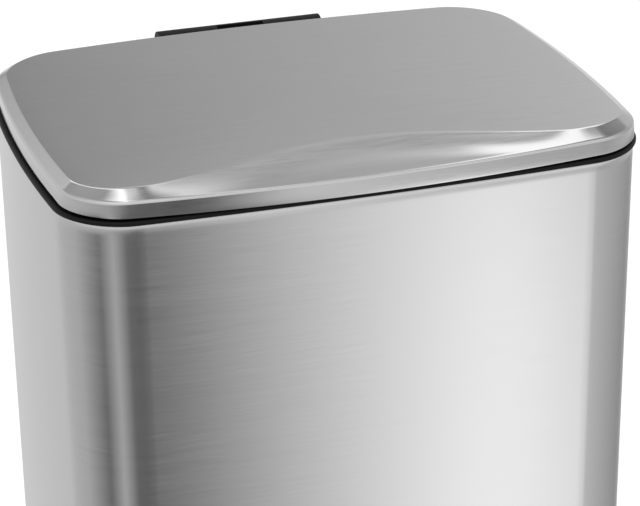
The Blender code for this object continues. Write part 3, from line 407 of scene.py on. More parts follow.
def brushedSteel(name, values):
    # grain lies along the axes whose scale is low
    material, board, shader = newMaterial(name)
    where = board.add("ShaderNodeTexCoord").outputs["Object"]
    mapped = board.add("ShaderNodeMapping", inputs={"Vector": where, "Scale": values["grainScale"]})
    grain = placeGroup(
        board,
        brushedGrain,
        mapped.outputs["Vector"],
        {"Roughness": values["roughness"], "Spread": values["spread"], "Depth": values["depth"]},
    )
    tint = board.blend(1.0, values["colour"], grain.outputs["Tint"], "MULTIPLY")
    board.link(tint, shader.inputs["Base Color"])
    board.link(grain.outputs["Roughness"], shader.inputs["Roughness"])
    board.link(grain.outputs["Normal"], shader.inputs["Normal"])
    shader.inputs["Metallic"].default_value = 1.0
    if "anisotropy" in values:
        shader.inputs["Anisotropic"].default_value = values["anisotropy"]
        shader.inputs["Anisotropic Rotation"].default_value = values["turn"]
        tangent = board.add("ShaderNodeTangent", direction_type="RADIAL", axis=values["axis"])
        board.link(tangent.outputs["Tangent"], shader.inputs["Tangent"])
    return material


def mouldedFinish(values):
    material, board, shader = newMaterial(values["name"])
    where = board.add("ShaderNodeTexCoord").outputs["Object"]
    grain = placeGroup(
        board,
        mouldedGrain,
        where,
        {"Size": values["grainSize"], "Roughness": values["roughness"], "Depth": values["depth"]},
    )
    tint = board.blend(grain.outputs["Wear"], values["colour"], values["wornColour"])
    board.link(tint, shader.inputs["Base Color"])
    board.link(grain.outputs["Roughness"], shader.inputs["Roughness"])
    board.link(grain.outputs["Normal"], shader.inputs["Normal"])
    shader.inputs["Metallic"].default_value = values.get("metallic", 0.0)
    shader.inputs["Specular IOR Level"].default_value = values.get("gloss", 0.5)
    return material


wallSteel = brushedSteel(
    "wallSteel",
    {
        "colour": (0.62, 0.62, 0.62, 1),
        "grainScale": (30, 30, 1500),
        "roughness": 0.18,
        "spread": 0.09,
        "depth": 0.0000001,
        "anisotropy": 0.8,
        "turn": 0.25,
        "axis": "Z",
    },
)
lidSteel = brushedSteel(
    "lidSteel",
    {
        "colour": (0.62, 0.62, 0.62, 1),
        "grainScale": (45, 800, 800),
        "roughness": 0.11,
        "spread": 0.09,
        "depth": 0.0000002,
    },
)
mouldedFinishes = {
    "zinc": {
        "name": "zincPlate",
        "colour": (0.60, 0.61, 0.62, 1),
        "wornColour": (0.72, 0.72, 0.72, 1),
        "grainSize": 600,
        "roughness": 0.34,
        "depth": 0.00002,
        "metallic": 1.0,
    },
    "black_plastic": {
        "name": "blackPlastic",
        "colour": (0.005, 0.005, 0.0055, 1),
        "wornColour": (0.014, 0.014, 0.015, 1),
        "grainSize": 1500,
        "roughness": 0.50,
        "depth": 0.00003,
        "gloss": 0.16,
    },
    "grey_plastic": {
        "name": "greyPlastic",
        "colour": (0.055, 0.056, 0.058, 1),
        "wornColour": (0.12, 0.12, 0.125, 1),
        "grainSize": 1200,
        "roughness": 0.50,
        "depth": 0.00004,
    },
    "rubber": {
        "name": "softRubber",
        "colour": (0.018, 0.018, 0.018, 1),
        "wornColour": (0.05, 0.05, 0.05, 1),
        "grainSize": 900,
        "roughness": 0.75,
        "depth": 0.00006,
        "gloss": 0.35,
    },
    "nylon": {
        "name": "paleNylon",
        "colour": (0.72, 0.70, 0.64, 1),
        "wornColour": (0.80, 0.78, 0.72, 1),
        "grainSize": 1000,
        "roughness": 0.48,
        "depth": 0.00002,
    },
    "black_steel": {
        "name": "blackSteel",
        "colour": (0.014, 0.014, 0.015, 1),
        "wornColour": (0.10, 0.10, 0.10, 1),
        "grainSize": 2200,
        "roughness": 0.46,
        "depth": 0.00003,
    },
}
slotMaterials = {slot: mouldedFinish(values) for slot, values in mouldedFinishes.items()}
slotMaterials["brushed_steel"] = wallSteel
print("materials made")

# Every solid gets its finish first; the finer pieces then take the place of those that show

nodeSlots = {entry["node"]: entry["material_slot"] for entry in frame["record"]["subparts"]}
for node, slotName in nodeSlots.items():
    solid = frame["nodes"][node]
    solid.data.materials.clear()
    solid.data.materials.append(slotMaterials[slotName])
    solid.data.shade_smooth()
    solid.data.set_sharp_from_angle(angle=math.radians(smoothAngles["solid"]))

# Geometry Nodes helpers

ribShape = {"points": 15, "endPower": 24.0, "endSize": 0.25, "sides": 12}
turnedWeld = 0.000005


def newTree(name, inputs):
    tree = bpy.data.node_groups.new(name, "GeometryNodeTree")
    for label, kind in inputs:
        tree.interface.new_socket(label, in_out="INPUT", socket_type="NodeSocket" + kind)
    tree.interface.new_socket("Geometry", in_out="OUTPUT", socket_type="NodeSocketGeometry")
    board = NodeBoard(tree)
    return board, board.add("NodeGroupInput").outputs, board.add("NodeGroupOutput").inputs


def endTree(board, geometry, material, out):
    # the export drops instances, so every tree ends in plain mesh with its finish
    plain = board.add("GeometryNodeRealizeInstances", inputs={"Geometry": geometry})
    inputs = {"Geometry": plain.outputs[0], "Material": material}
    finish = board.add("GeometryNodeSetMaterial", inputs=inputs)
    board.link(finish.outputs[0], out["Geometry"])
    return board.tree


def runTree(tree, name, mesh, values):
    # evaluates a tree on a mesh and gives back one plain mesh
    sockets = {item.name: item.identifier for item in tree.interface.items_tree if item.in_out == "INPUT"}

    def setUp(obj):
        modifier = obj.modifiers.new(tree.name, "NODES")
        modifier.node_group = tree
        for label, value in values.items():
            modifier[sockets[label]] = value

    return withModifiers(name, mesh, setUp)


def copiesTree():
    # one copy of a piece on each point, all turned the same way
    board, given, out = newTree(
        "copiesOnPoints",
        [
            ("Geometry", "Geometry"),
            ("Piece", "Object"),
            ("Turn", "Rotation"),
            ("Material", "Material"),
        ],
    )
    piece = board.add("GeometryNodeObjectInfo", inputs={"Object": given["Piece"], "As Instance": True})
    copies = board.add(
        "GeometryNodeInstanceOnPoints",
        inputs={
            "Points": given["Geometry"],
            "Instance": piece.outputs["Geometry"],
            "Rotation": given["Turn"],
        },
    )
    return endTree(board, copies.outputs[0], given["Material"], out)


def ribsTree(values):
    # a row of bars with rounded backs, joined to the mesh that they stand on
    board, given, out = newTree(
        "ribRow",
        [
            ("Geometry", "Geometry"),
            ("Count", "Int"),
            ("First", "Vector"),
            ("Step", "Vector"),
            ("Length", "Float"),
            ("Radius", "Float"),
            ("Material", "Material"),
        ],
    )
    row = board.add(
        "GeometryNodeMeshLine",
        inputs={"Count": given["Count"], "Start Location": given["First"], "Offset": given["Step"]},
    )
    half = board.math("MULTIPLY", given["Length"], 0.5)
    left = board.add("ShaderNodeCombineXYZ", inputs={"X": board.math("MULTIPLY", half, -1.0)})
    right = board.add("ShaderNodeCombineXYZ", inputs={"X": half})
    ends = {"Start": left.outputs[0], "End": right.outputs[0]}
    path = board.add("GeometryNodeCurvePrimitiveLine", inputs=ends)
    pieces = {"Curve": path.outputs[0], "Count": values["points"]}
    fine = board.add("GeometryNodeResampleCurve", inputs=pieces)
    along = board.add("GeometryNodeSplineParameter").outputs["Factor"]
    middle = board.math("ABSOLUTE", board.math("SUBTRACT", board.math("MULTIPLY", along, 2.0), 1.0))
    taper = board.math("SQRT", board.math("SUBTRACT", 1.0, board.math("POWER", middle, values["endPower"])))
    size = board.math("MULTIPLY", given["Radius"], board.math("MAXIMUM", taper, values["endSize"]))
    circle = board.add(
        "GeometryNodeCurvePrimitiveCircle", inputs={"Resolution": values["sides"], "Radius": 1.0}
    )
    bar = board.add(
        "GeometryNodeCurveToMesh",
        inputs={
            "Curve": fine.outputs[0],
            "Profile Curve": circle.outputs[0],
            "Scale": size,
            "Fill Caps": True,
        },
    )
    bars = board.add(
        "GeometryNodeInstanceOnPoints", inputs={"Points": row.outputs[0], "Instance": bar.outputs[0]}
    )
    both = board.add("GeometryNodeJoinGeometry")
    board.link(bars.outputs[0], both.inputs[0])
    board.link(given["Geometry"], both.inputs[0])
    return endTree(board, both.outputs[0], given["Material"], out)


copiesOnPoints = copiesTree()
ribRow = ribsTree(ribShape)


def turnedMesh(name, profile, steps):
    # a closed (radius, height) profile spun about Z; it starts and ends on the axis
    bm = bmesh.new()
    verts = [bm.verts.new((radius, 0, height)) for radius, height in profile]
    edges = [bm.edges.new(pair) for pair in zip(verts, verts[1:])]
    bmesh.ops.spin(
        bm, geom=verts + edges, cent=(0, 0, 0), axis=(0, 0, 1), angle=math.tau, steps=steps, use_merge=True
    )
    bmesh.ops.remove_doubles(bm, verts=bm.verts, dist=turnedWeld)
    bmesh.ops.recalc_face_normals(bm, faces=bm.faces)
    return plainMesh(bm, name)


def pointMesh(name, places):
    mesh = bpy.data.meshes.new(name)
    mesh.from_pydata([tuple(place) for place in places], [], [])
    return mesh


def setOfCopies(name, part, nodes, places, turn, body):
    # copies of one small part, placed by Geometry Nodes, stand for a set of solids
    slotName = nodeSlots[nodes[0]]
    source = bpy.data.objects.new("copySource", part)
    values = {"Piece": source, "Turn": turn, "Material": slotMaterials[slotName]}
    mesh = runTree(copiesOnPoints, name, pointMesh(name + "_points", places), values)
    bpy.data.objects.remove(source)
    return addPiece(name, mesh, body, slotName, nodes)


def boxMiddle(node):
    low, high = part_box(node)
    return (low + high) / 2


# The steel wall

wall = {
    "sheet": 0.0006,
    "edgeInset": 0.0016,
    "edgeHeight": 0.0070,
    "edgeSteps": 12,
    "hem": 0.0090,
    "footRoll": 0.0008,
    "rollShare": 0.95,
    "rollArc": (270, 180, 4),  # from, to, steps
    "straightFrom": 0.02,  # where the straight face starts above the foot
    "straightTo": 0.002,  # and ends below the rounded edge
    "notchHalf": 0.0089,
    "notchFloor": 0.0168,
    "notchDepth": 0.012,
    "pedalSideGap": 0.006,
    "pedalTop": 0.0445,
    "pedalDepth": 0.02,
    "cutOutward": 0.05,
    "cutUpward": 0.01,
}


def makeWall(values):
    low, high = wallLow.z, wallHigh.z
    sheet = values["sheet"]
    section = [(sheet, low + values["footRoll"])]
    section += arcSection((sheet, low + sheet), sheet * values["rollShare"], *values["rollArc"])
    inset, tall = values["edgeInset"], values["edgeHeight"]
    section += [(0, low + values["straightFrom"]), (0, (low + high) / 2)]
    section += [(0, high - tall - values["straightTo"])]
    section += [
        (inset * (1 - math.cos(turn)), high - tall + tall * math.sin(turn))
        for turn in quarterTurns(values["edgeSteps"])
    ]
    hemInside, hemLow = inset + sheet, high - values["hem"]
    section += [(hemInside, high - sheet), (hemInside, hemLow), (sheet, hemLow - sheet)]
    mesh = skinLoops("wall", sectionLoops(wallPlan, wallNormals, section), closed=True)
    outward, upward = values["cutOutward"], values["cutUpward"]
    half = values["notchHalf"]
    rearLow = (-half, wallHigh.y - values["notchDepth"], high - values["notchFloor"])
    rearHigh = (half, wallHigh.y + outward, high + upward)
    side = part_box("pedal_plate")[1].x + values["pedalSideGap"]
    frontLow = (-side, wallLow.y - outward, low - upward)
    frontHigh = (side, wallLow.y + values["pedalDepth"], values["pedalTop"])
    mesh = cutOut(mesh, "wallSkin", [(rearLow, rearHigh), (frontLow, frontHigh)])
    return addPiece("wall_skin", mesh, "bin", "brushed_steel", ["body_shell"])


makeWall(wall)
print("wall made")

# The steel lid: skirt, sloping border that widens into the front scoop, and a low crown

lid = {
    "sheet": 0.0006,
    "skirtHeight": 0.0100,
    "skirtDip": 0.0015,
    "skirtLean": 0.0006,  # the skirt leans in a little towards the top
    "skirtStep": 0.0006,
    "bevelHeight": 0.0045,
    "crown": 0.002,
    "crownReach": 0.11,
    "sideBevel": 0.0085,
    "frontBevel": 0.0135,
    "scoopDepth": 0.0405,
    "scoopHalfWidth": 0.146,
    "scoopPower": 1.4,
    "hollow": 0.75,
    "edgeRound": 0.0018,
    "creaseRound": 0.0008,
    "scoopCreaseRound": 0.006,
    "bevelSteps": 16,
    "roundSteps": 6,
    "creaseSteps": 8,
    "crownSteps": 14,
}


def lidProfile(values, point, normal):
    # one section of the lid from its lower edge to the crease, as (inset, height)
    share = max(0, -normal.y) ** 2
    across = 2 * point.x / plans["lid"]["width"]
    bottom = skirtBottom - values["skirtDip"] * share * max(0, 1 - across ** 2)
    top = skirtBottom + values["skirtHeight"]
    run = values["sideBevel"] + (values["frontBevel"] - values["sideBevel"]) * share
    scoop = 0
    if abs(point.x) < values["scoopHalfWidth"]:
        turn = math.pi / 2 * point.x / values["scoopHalfWidth"]
        scoop = share * math.cos(turn) ** values["scoopPower"]
        run += values["scoopDepth"] * scoop
    power = 1 + values["hollow"] * (run - values["sideBevel"]) / values["scoopDepth"]
    lean = values["skirtLean"]

    def onBevel(part):
        return Vector((lean + (run - lean) * part, top + values["bevelHeight"] * part ** power))

    edge = values["edgeRound"]
    crease = values["creaseRound"] + values["scoopCreaseRound"] * scoop
    firstPart = edge / run
    lastPart = 1 - crease / run
    section = [Vector((0, bottom)), Vector((0, bottom + values["skirtStep"]))]
    section.append(Vector((lean / 2, (bottom + top) / 2)))
    upper = Vector((lean * (1 - edge / values["skirtHeight"]), top - edge))
    section += bentCorner(upper, Vector((lean, top)), onBevel(firstPart), values["roundSteps"])
    for step in range(1, values["bevelSteps"]):
        section.append(onBevel(firstPart + (lastPart - firstPart) * step / values["bevelSteps"]))
    inside = Vector((run + crease, top + values["bevelHeight"] + crownRise(values, crease)))
    corner = Vector((run, top + values["bevelHeight"]))
    section += bentCorner(onBevel(lastPart), corner, inside, values["creaseSteps"])
    return section


def bentCorner(start, corner, end, steps):
    points = []
    for step in range(steps + 1):
        part = step / steps
        points.append(start.lerp(corner, part).lerp(corner.lerp(end, part), part))
    return points


def crownRise(values, inward):
    # how far the panel has risen at a distance inside the crease
    part = min(1, inward / values["crownReach"])
    return values["crown"] * (1 - (1 - part) ** 2)


skirtBottom = lidHigh.z - lid["crown"] - lid["bevelHeight"] - lid["skirtHeight"]


def makeLid(values):
    profiles = [lidProfile(values, point, normal) for point, normal in zip(lidPlan, lidNormals)]
    loops = []
    for level in range(len(profiles[0])):
        loop = []
        for point, normal, profile in zip(lidPlan, lidNormals, profiles):
            inset, height = profile[level]
            moved = point - normal * inset
            loop.append(Vector((moved.x, moved.y + middleY, height)))
        loops.append(loop)
    rim = loops[-1]
    panel = creaseHeight(values)
    middle = Vector((0, (max(point.y for point in rim) + min(point.y for point in rim)) / 2, 0))
    for step in range(1, values["crownSteps"]):
        part = step / values["crownSteps"]
        loop = []
        for point in rim:
            flat = Vector((point.x, point.y, 0)).lerp(middle, part)
            start = point.z - panel
            rise = start + (values["crown"] - start) * (1 - (1 - part) ** 2)
            loop.append(Vector((flat.x, flat.y, panel + rise)))
        loops.append(loop)
    mesh = skinLoops("lid", loops, lastCap=True)

    def setUp(obj):
        skin = obj.modifiers.new("sheet", "SOLIDIFY")
        skin.thickness = values["sheet"]
        skin.offset = -1

    mesh = withModifiers("lidSkin", mesh, setUp)
    return addPiece("lid_skin", mesh, "lid", "brushed_steel", ["lid_shell"], lidSteel, "lid")


def creaseHeight(values):
    return skirtBottom + values["skirtHeight"] + values["bevelHeight"]


makeLid(lid)
print("lid made")

# The black ring on the wall's top edge

ring = {
    "seat": 0.0003,
    "lip": 0.0019,
    "lipShare": 0.9,
    "lipRise": 0.3,
    "lipSteps": 8,
    "height": 0.0034,
    "wallInside": 0.0018,
    "wallThickness": 0.002,
    "ledgeInside": 0.018,
    "ledgeStart": 0.0117,
    "ledgeDrop": 0.002,
    "edge": 0.0005,
    "edgeShare": 0.3,
    "armHalf": 0.0175,
    "armDepth": 0.0195,
    "notchGap": 0.0011,
    "coverGap": 0.0006,
    "coverDrop": 0.002,
    "cutOutward": 0.02,
    "cutUpward": 0.01,
}


def makeRing(values):
    low = wallHigh.z + values["seat"]
    high = wallHigh.z + values["height"]
    lip = values["lip"]
    half = (high - low) / 2
    section = [(-lip * values["lipShare"], low), (-lip, low + half * values["lipRise"])]
    section += [
        (-lip + half * (1 - math.cos(turn)), low + half + half * math.sin(turn))
        for turn in quarterTurns(values["lipSteps"])
    ]
    inner, edge, ledgeLow = values["ledgeStart"], values["edge"], low - values["ledgeDrop"]
    bend = edge * values["edgeShare"]
    section += [(inner - edge, high), (inner - bend, high - bend), (inner, high - edge), (inner, low)]
    section += [(values["ledgeInside"], low), (values["ledgeInside"], ledgeLow)]
    wallIn = values["wallInside"]
    wallOut = wallIn + values["wallThickness"]
    section += [(wallOut, ledgeLow), (wallOut, ringLow.z), (wallIn, ringLow.z), (wallIn, low)]
    mesh = skinLoops("ring", sectionLoops(wallPlan, wallNormals, section), closed=True)
    outward, top = wallHigh.y + values["cutOutward"], high + values["cutUpward"]
    armHalf = values["armHalf"]
    coverHalf = coverHigh.x + values["coverGap"]
    notchFloor = wallHigh.z - wall["notchFloor"] - values["notchGap"]
    armRoom = ((-armHalf, wallHigh.y - values["armDepth"], notchFloor), (armHalf, outward, top))
    coverRoom = ((-coverHalf, wallHigh.y, low - values["coverDrop"]), (coverHalf, outward, top))
    mesh = cutOut(mesh, "ringSkin", [armRoom, coverRoom])
    return addPiece("ring_skin", mesh, "bin", "black_plastic", ["top_ring"])


makeRing(ring)
print("ring made")

# Pieces whose solid is right but whose edges are too sharp

softEdges = {
    "base_moulding": ("bin", 0.0006),
    "inner_bucket": ("bin", 0.0005),
    "hinge_cover": ("bin", 0.0006),
    "hinge_bracket": ("bin", 0.0003),
    "rod_channel": ("bin", 0.0003),
    "lid_arm": ("lid", 0.0003),
    "pedal_lever": ("pedal", 0.0003),
    "pedal_plate": ("pedal", 0.0006),
}


def makeSoftEdges(table):
    for node, (body, width) in table.items():
        addPiece(node + "_skin", softened(node, width), body, nodeSlots[node], [node])


makeSoftEdges(softEdges)
print("edges softened")

# Lid lining with a row of stiffening ribs under its panel

linerRibs = {"count": 9, "firstY": -0.10, "pitch": 0.024, "length": 0.33, "radius": 0.0012, "edge": 0.0005}


def makeLiner(values):
    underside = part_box("bumper_front_left")[1].z
    ribs = {
        "Count": values["count"],
        "First": (0.0, values["firstY"], underside),
        "Step": (0.0, values["pitch"], 0.0),
        "Length": values["length"],
        "Radius": values["radius"],
        "Material": slotMaterials["grey_plastic"],
    }
    mesh = runTree(ribRow, "liner", softened("lid_liner", values["edge"]), ribs)
    return addPiece("lid_liner_skin", mesh, "lid", "grey_plastic", ["lid_liner"])


makeLiner(linerRibs)
print("lid lining made")

# Small turned parts: feet, bumpers and screws

foot = {
    "grooves": (0.0052, 0.0026),
    "grooveHalf": 0.0004,
    "grooveDepth": 0.0006,
    "edge": 0.0010,
    "topShare": 1 / 3,  # of the lower edge's rounding, at the top
    "sides": 40,
}
bumper = {
    "neck": 0.78,
    "flange": 0.0012,
    "flangeSlope": 0.0004,
    "nose": 0.0010,
    "noseWidths": (0.86, 0.55),  # shares of the neck
    "noseHeights": (0.4, 0.1),  # shares of the nose
    "sides": 24,
}
screw = {
    "headHeight": 0.0016,
    "headRadius": 0.0032,
    # the head's section, in shares of its radius and height
    "head": [(0, 1), (0.5, 0.98), (0.8, 0.78), (0.97, 0.35), (1, 0.1), (0.98, 0)],
    "shankRadius": 0.0015,
    "shankStraight": 0.85,
    "tipShare": 0.75,
    "slotLength": 0.0030,
    "slotWidth": 0.0006,
    "slotFloor": 0.4,
    "sides": 24,
    "armTurn": 0.3,
}


def makeFeet(values):
    nodes = ["foot_front_left", "foot_front_right", "foot_rear_left", "foot_rear_right"]
    low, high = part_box(nodes[0])
    radius, edge = (high.x - low.x) / 2, values["edge"]
    top = edge * values["topShare"]
    profile = [(0, high.z), (radius - top, high.z), (radius, high.z - top)]
    profile += [(radius, edge), (radius - edge, 0)]
    half, depth = values["grooveHalf"], values["grooveDepth"]
    for groove in values["grooves"]:
        profile += [(groove + half, 0), (groove + half / 2, depth)]
        profile += [(groove - half / 2, depth), (groove - half, 0)]
    profile += [(0, 0)]
    places = [(boxMiddle(node).x, boxMiddle(node).y, 0) for node in nodes]
    part = turnedMesh("foot", profile, values["sides"])
    setOfCopies("feet_skin", part, nodes, places, (0.0, 0.0, 0.0), "bin")


def makeBumpers(values):
    nodes = ["bumper_front_left", "bumper_front_right", "bumper_rear_left", "bumper_rear_right"]
    low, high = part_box(nodes[0])
    radius, tall = (high.x - low.x) / 2, high.z - low.z
    neck, nose = radius * values["neck"], values["nose"]
    flange = tall - values["flange"]
    profile = [(0, tall), (radius, tall), (radius, flange)]
    profile += [(neck, flange - values["flangeSlope"]), (neck, nose)]
    for width, height in zip(values["noseWidths"], values["noseHeights"]):
        profile.append((neck * width, nose * height))
    profile.append((0, 0))
    places = [(boxMiddle(node).x, boxMiddle(node).y, low.z) for node in nodes]
    part = turnedMesh("bumper", profile, values["sides"])
    setOfCopies("bumpers_skin", part, nodes, places, (0.0, 0.0, 0.0), "lid")


def screwMesh(values, reach):
    tall, radius, shank = values["headHeight"], values["headRadius"], values["shankRadius"]
    profile = [(radius * width, tall * height) for width, height in values["head"]]
    profile += [(shank, 0), (shank, -reach * values["shankStraight"])]
    profile += [(shank * values["tipShare"], -reach), (0, -reach)]
    mesh = turnedMesh("screw", profile, values["sides"])
    long, wide = values["slotLength"] / 2, values["slotWidth"] / 2
    floor, over = tall * values["slotFloor"], tall * 2
    cuts = [((-long, -wide, floor), (long, wide, over)), ((-wide, -long, floor), (wide, long, over))]
    return cutOut(mesh, "screwCross", cuts)


def makeScrews(values):
    tall = values["headHeight"]
    nodes = ["arm_screw_1", "arm_screw_2", "arm_screw_3", "arm_screw_4"]
    low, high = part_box(nodes[0])
    places = [(boxMiddle(node).x, boxMiddle(node).y, low.z + tall) for node in nodes]
    part = screwMesh(values, high.z - low.z - tall)
    setOfCopies("arm_screws_skin", part, nodes, places, (math.pi, 0.0, values["armTurn"]), "lid")
    nodes = ["bracket_screw_left", "bracket_screw_right"]
    low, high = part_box(nodes[0])
    places = [(boxMiddle(node).x, high.y - tall, boxMiddle(node).z) for node in nodes]
    part = screwMesh(values, high.y - low.y - tall)
    setOfCopies("bracket_screws_skin", part, nodes, places, (-math.pi / 2, 0.0, 0.0), "bin")


makeFeet(foot)
makeBumpers(bumper)
makeScrews(screw)
print("feet, bumpers and screws made")

# The rubber tread on the pedal

tread = {
    "padHeight": 0.002,
    "cornerRadius": 0.006,
    "cornerSteps": 8,
    "footInset": 0.0002,
    "footHeight": 0.0003,
    "edge": 0.0006,
    "edgeArc": (150, 90, 3),  # from, to, steps
    "rivetGap": 0.0002,
    "rivetCut": 0.001,
    "ribs": 7,
    "ribRadius": 0.0010,
    "ribMargin": 0.0065,
}


def makeTread(values):
    low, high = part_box("pedal_tread")
    middle = (low + high) / 2
    radius = values["cornerRadius"]
    top = low.z + values["padHeight"]
    reach = (high - low) / 2 - Vector((radius, radius, 0))
    outline, normals = [], []
    for number, (across, along) in enumerate([(1, 1), (-1, 1), (-1, -1), (1, -1)]):
        corner = Vector((middle.x + across * reach.x, along * reach.y))
        for step in range(values["cornerSteps"] + 1):
            turn = math.pi / 2 * (number + step / values["cornerSteps"])
            normals.append(Vector((math.cos(turn), math.sin(turn))))
            outline.append(corner + radius * normals[-1] + Vector((0, middle.y - middleY)))
    edge = values["edge"]
    section = [(values["footInset"], low.z), (0, low.z + values["footHeight"]), (0, top - edge)]
    section += arcSection((edge, top - edge), edge, *values["edgeArc"])
    mesh = skinLoops("tread", sectionLoops(outline, normals, section), firstCap=True, lastCap=True)
    rooms = []
    gap = Vector([values["rivetGap"]] * 3)
    for node in ("pedal_rivet_left", "pedal_rivet_right"):
        rivetLow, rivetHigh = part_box(node)
        rooms.append((Vector((rivetLow.x, rivetLow.y, low.z - values["rivetCut"])) - gap, rivetHigh + gap))
    mesh = cutOut(mesh, "treadPad", rooms)
    margin = values["ribMargin"]
    ribs = {
        "Count": values["ribs"],
        "First": (middle.x, low.y + margin, top),
        "Step": (0.0, (high.y - low.y - 2 * margin) / (values["ribs"] - 1), 0.0),
        "Length": high.x - low.x - 2 * margin,
        "Radius": values["ribRadius"],
        "Material": slotMaterials["rubber"],
    }
    mesh = runTree(ribRow, "tread", mesh, ribs)
    return addPiece("pedal_tread_skin", mesh, "pedal", "rubber", ["pedal_tread"])


makeTread(tread)
print("tread made")

# The folded seam up the back of the wall

seam = {
    "halfWidth": 0.0045,
    "proud": 0.0005,
    "sunk": 0.0001,
    "edge": 0.0004,
    "slope": (0.4, 0.7),  # shares of the edge and of the height
    "footGap": 0.001,
    "endLength": 0.001,
    "endShare": 0.94,
    "belowCover": 0.004,
}


def makeSeam(values):
    low, high = wallLow.z + values["footGap"], coverLow.z - values["belowCover"]
    face, half, edge, proud = wallHigh.y, values["halfWidth"], values["edge"], values["proud"]
    along, upward = values["slope"]
    outline = [
        (half + edge, face - values["sunk"]),
        (half + edge * along, face + proud * upward),
        (half - edge, face + proud),
    ]
    outline += [(-x, y) for x, y in reversed(outline)]
    levels = [(low, values["endShare"]), (low + values["endLength"], 1), (high, 1)]
    loops = [[(x * size, y, z) for x, y in outline] for z, size in levels]
    mesh = skinLoops("seam", loops, firstCap=True, lastCap=True)
    return addPiece("wall_seam", mesh, "bin", "brushed_steel")


makeSeam(seam)
print("seam made")

# Camera at the photograph's viewing angle

camera = {
    "fromWallTop": (-0.4451, -1.4332, 0.5734),  # from the middle of the wall's top edge
    "yaw": 0.3069,
    "pitch": 0.4226,
    "roll": -0.0133,
    "focalPixels": 2352.0,
    "imageWidth": 640,
    "sensorWidth": 36,
}


def addCamera(values):
    up = Vector((0, 0, 1))
    along = Vector((math.sin(values["yaw"]), math.cos(values["yaw"]), 0))
    across = along.cross(up)
    forward = along * math.cos(values["pitch"]) - up * math.sin(values["pitch"])
    upright = along * math.sin(values["pitch"]) + up * math.cos(values["pitch"])
    roll = values["roll"]
    right = across * math.cos(roll) + upright * math.sin(roll)
    top = -across * math.sin(roll) + upright * math.cos(roll)
    data = bpy.data.cameras.new("photoCamera")
    data.sensor_width = values["sensorWidth"]
    data.lens = values["focalPixels"] / values["imageWidth"] * values["sensorWidth"]
    obj = newObject("photoCamera", data)
    place = Vector((0, middleY, wallHigh.z)) + Vector(values["fromWallTop"])
    turn = Matrix((right, top, -forward)).transposed().to_4x4()
    obj.matrix_world = Matrix.Translation(place) @ turn
    bpy.context.scene.camera = obj


addCamera(camera)

# Studio: panels, light and dark, that light the bin and show in its steel; the camera sees white.
# Each stop is a direction in degrees and the grey that the steel shows there. 0 is straight out
# from the bin's front, 90 its right side. The bands overhead slant across the upper rear.

studio = {
    "steelShare": 0.62,
    "floorRing": [
        (-180, 180), (-100, 160), (-60, 90), (-38, 160), (-15, 90),
        (8, 90), (26, 250), (36, 180), (120, 130), (180, 180),
    ],
    "skirtRing": [(-180, 190), (-40, 150), (5, 80), (12, 190), (40, 150), (180, 190)],
    "lowRing": [
        (-180, 130), (-160, 180), (0, 200), (30, 230),
        (100, 150), (150, 180), (172, 130), (180, 130),
    ],
    "middleRing": [
        (-180, 130), (-160, 180), (0, 190), (100, 150), (150, 180), (172, 130), (180, 130),
    ],
    "highBands": [
        (-100, 200), (25, 110), (35, 250), (50, 140), (63, 220),
        (75, 20), (86, 280), (120, 140), (350, 220),
    ],
    "ringRange": (-180, 180),
    "bandRange": (-100, 350),
    "bandSlant": 1.6,  # degrees of height that a band climbs per degree of compass
    "bandMiddle": 150.0,
    # heights in degrees at which one ring turns into the next
    "skirtEdge": (-20.5, -18),
    "lowEdge": (-8, 4),
    "middleEdge": (5, 9),
    "highEdge": (28, 32),
    "patchGrey": 250,  # one bright panel, seen only in the right half of the scoop
    "patchTurn": (156.2, 157.3),
    "patchLow": (30, 34),
    "patchHigh": (46.5, 48.5),
    "floorSize": 6.0,
    "floorDrop": 0.0005,
    "floorColour": (0.86, 0.86, 0.86, 1),
    "floorRoughness": 0.9,
    "floorLift": 0.30,
    "paintedShadowReach": (0.75, 1.02),  # shares of the bin's reach, between which the lift fades in; the missing lift under the bin is a painted shadow
    "lamps": {"keyLight": ((-0.9, -1.3, 2.2), 14), "fillLight": ((1.6, -0.4, 1.8), 8)},
    "lampSize": 1.4,
    "lampAim": (0, 0, 0.4),
}


def linearGrey(value):
    share = value / 255
    return share / 12.92 if share <= 0.04045 else ((share + 0.055) / 1.055) ** 2.4


def panelRamp(board, factor, values, name, reach):
    low, high = values[reach]
    stops = [
        ((place - low) / (high - low), linearGrey(grey) / values["steelShare"])
        for place, grey in values[name]
    ]
    return board.ramp(factor, stops)


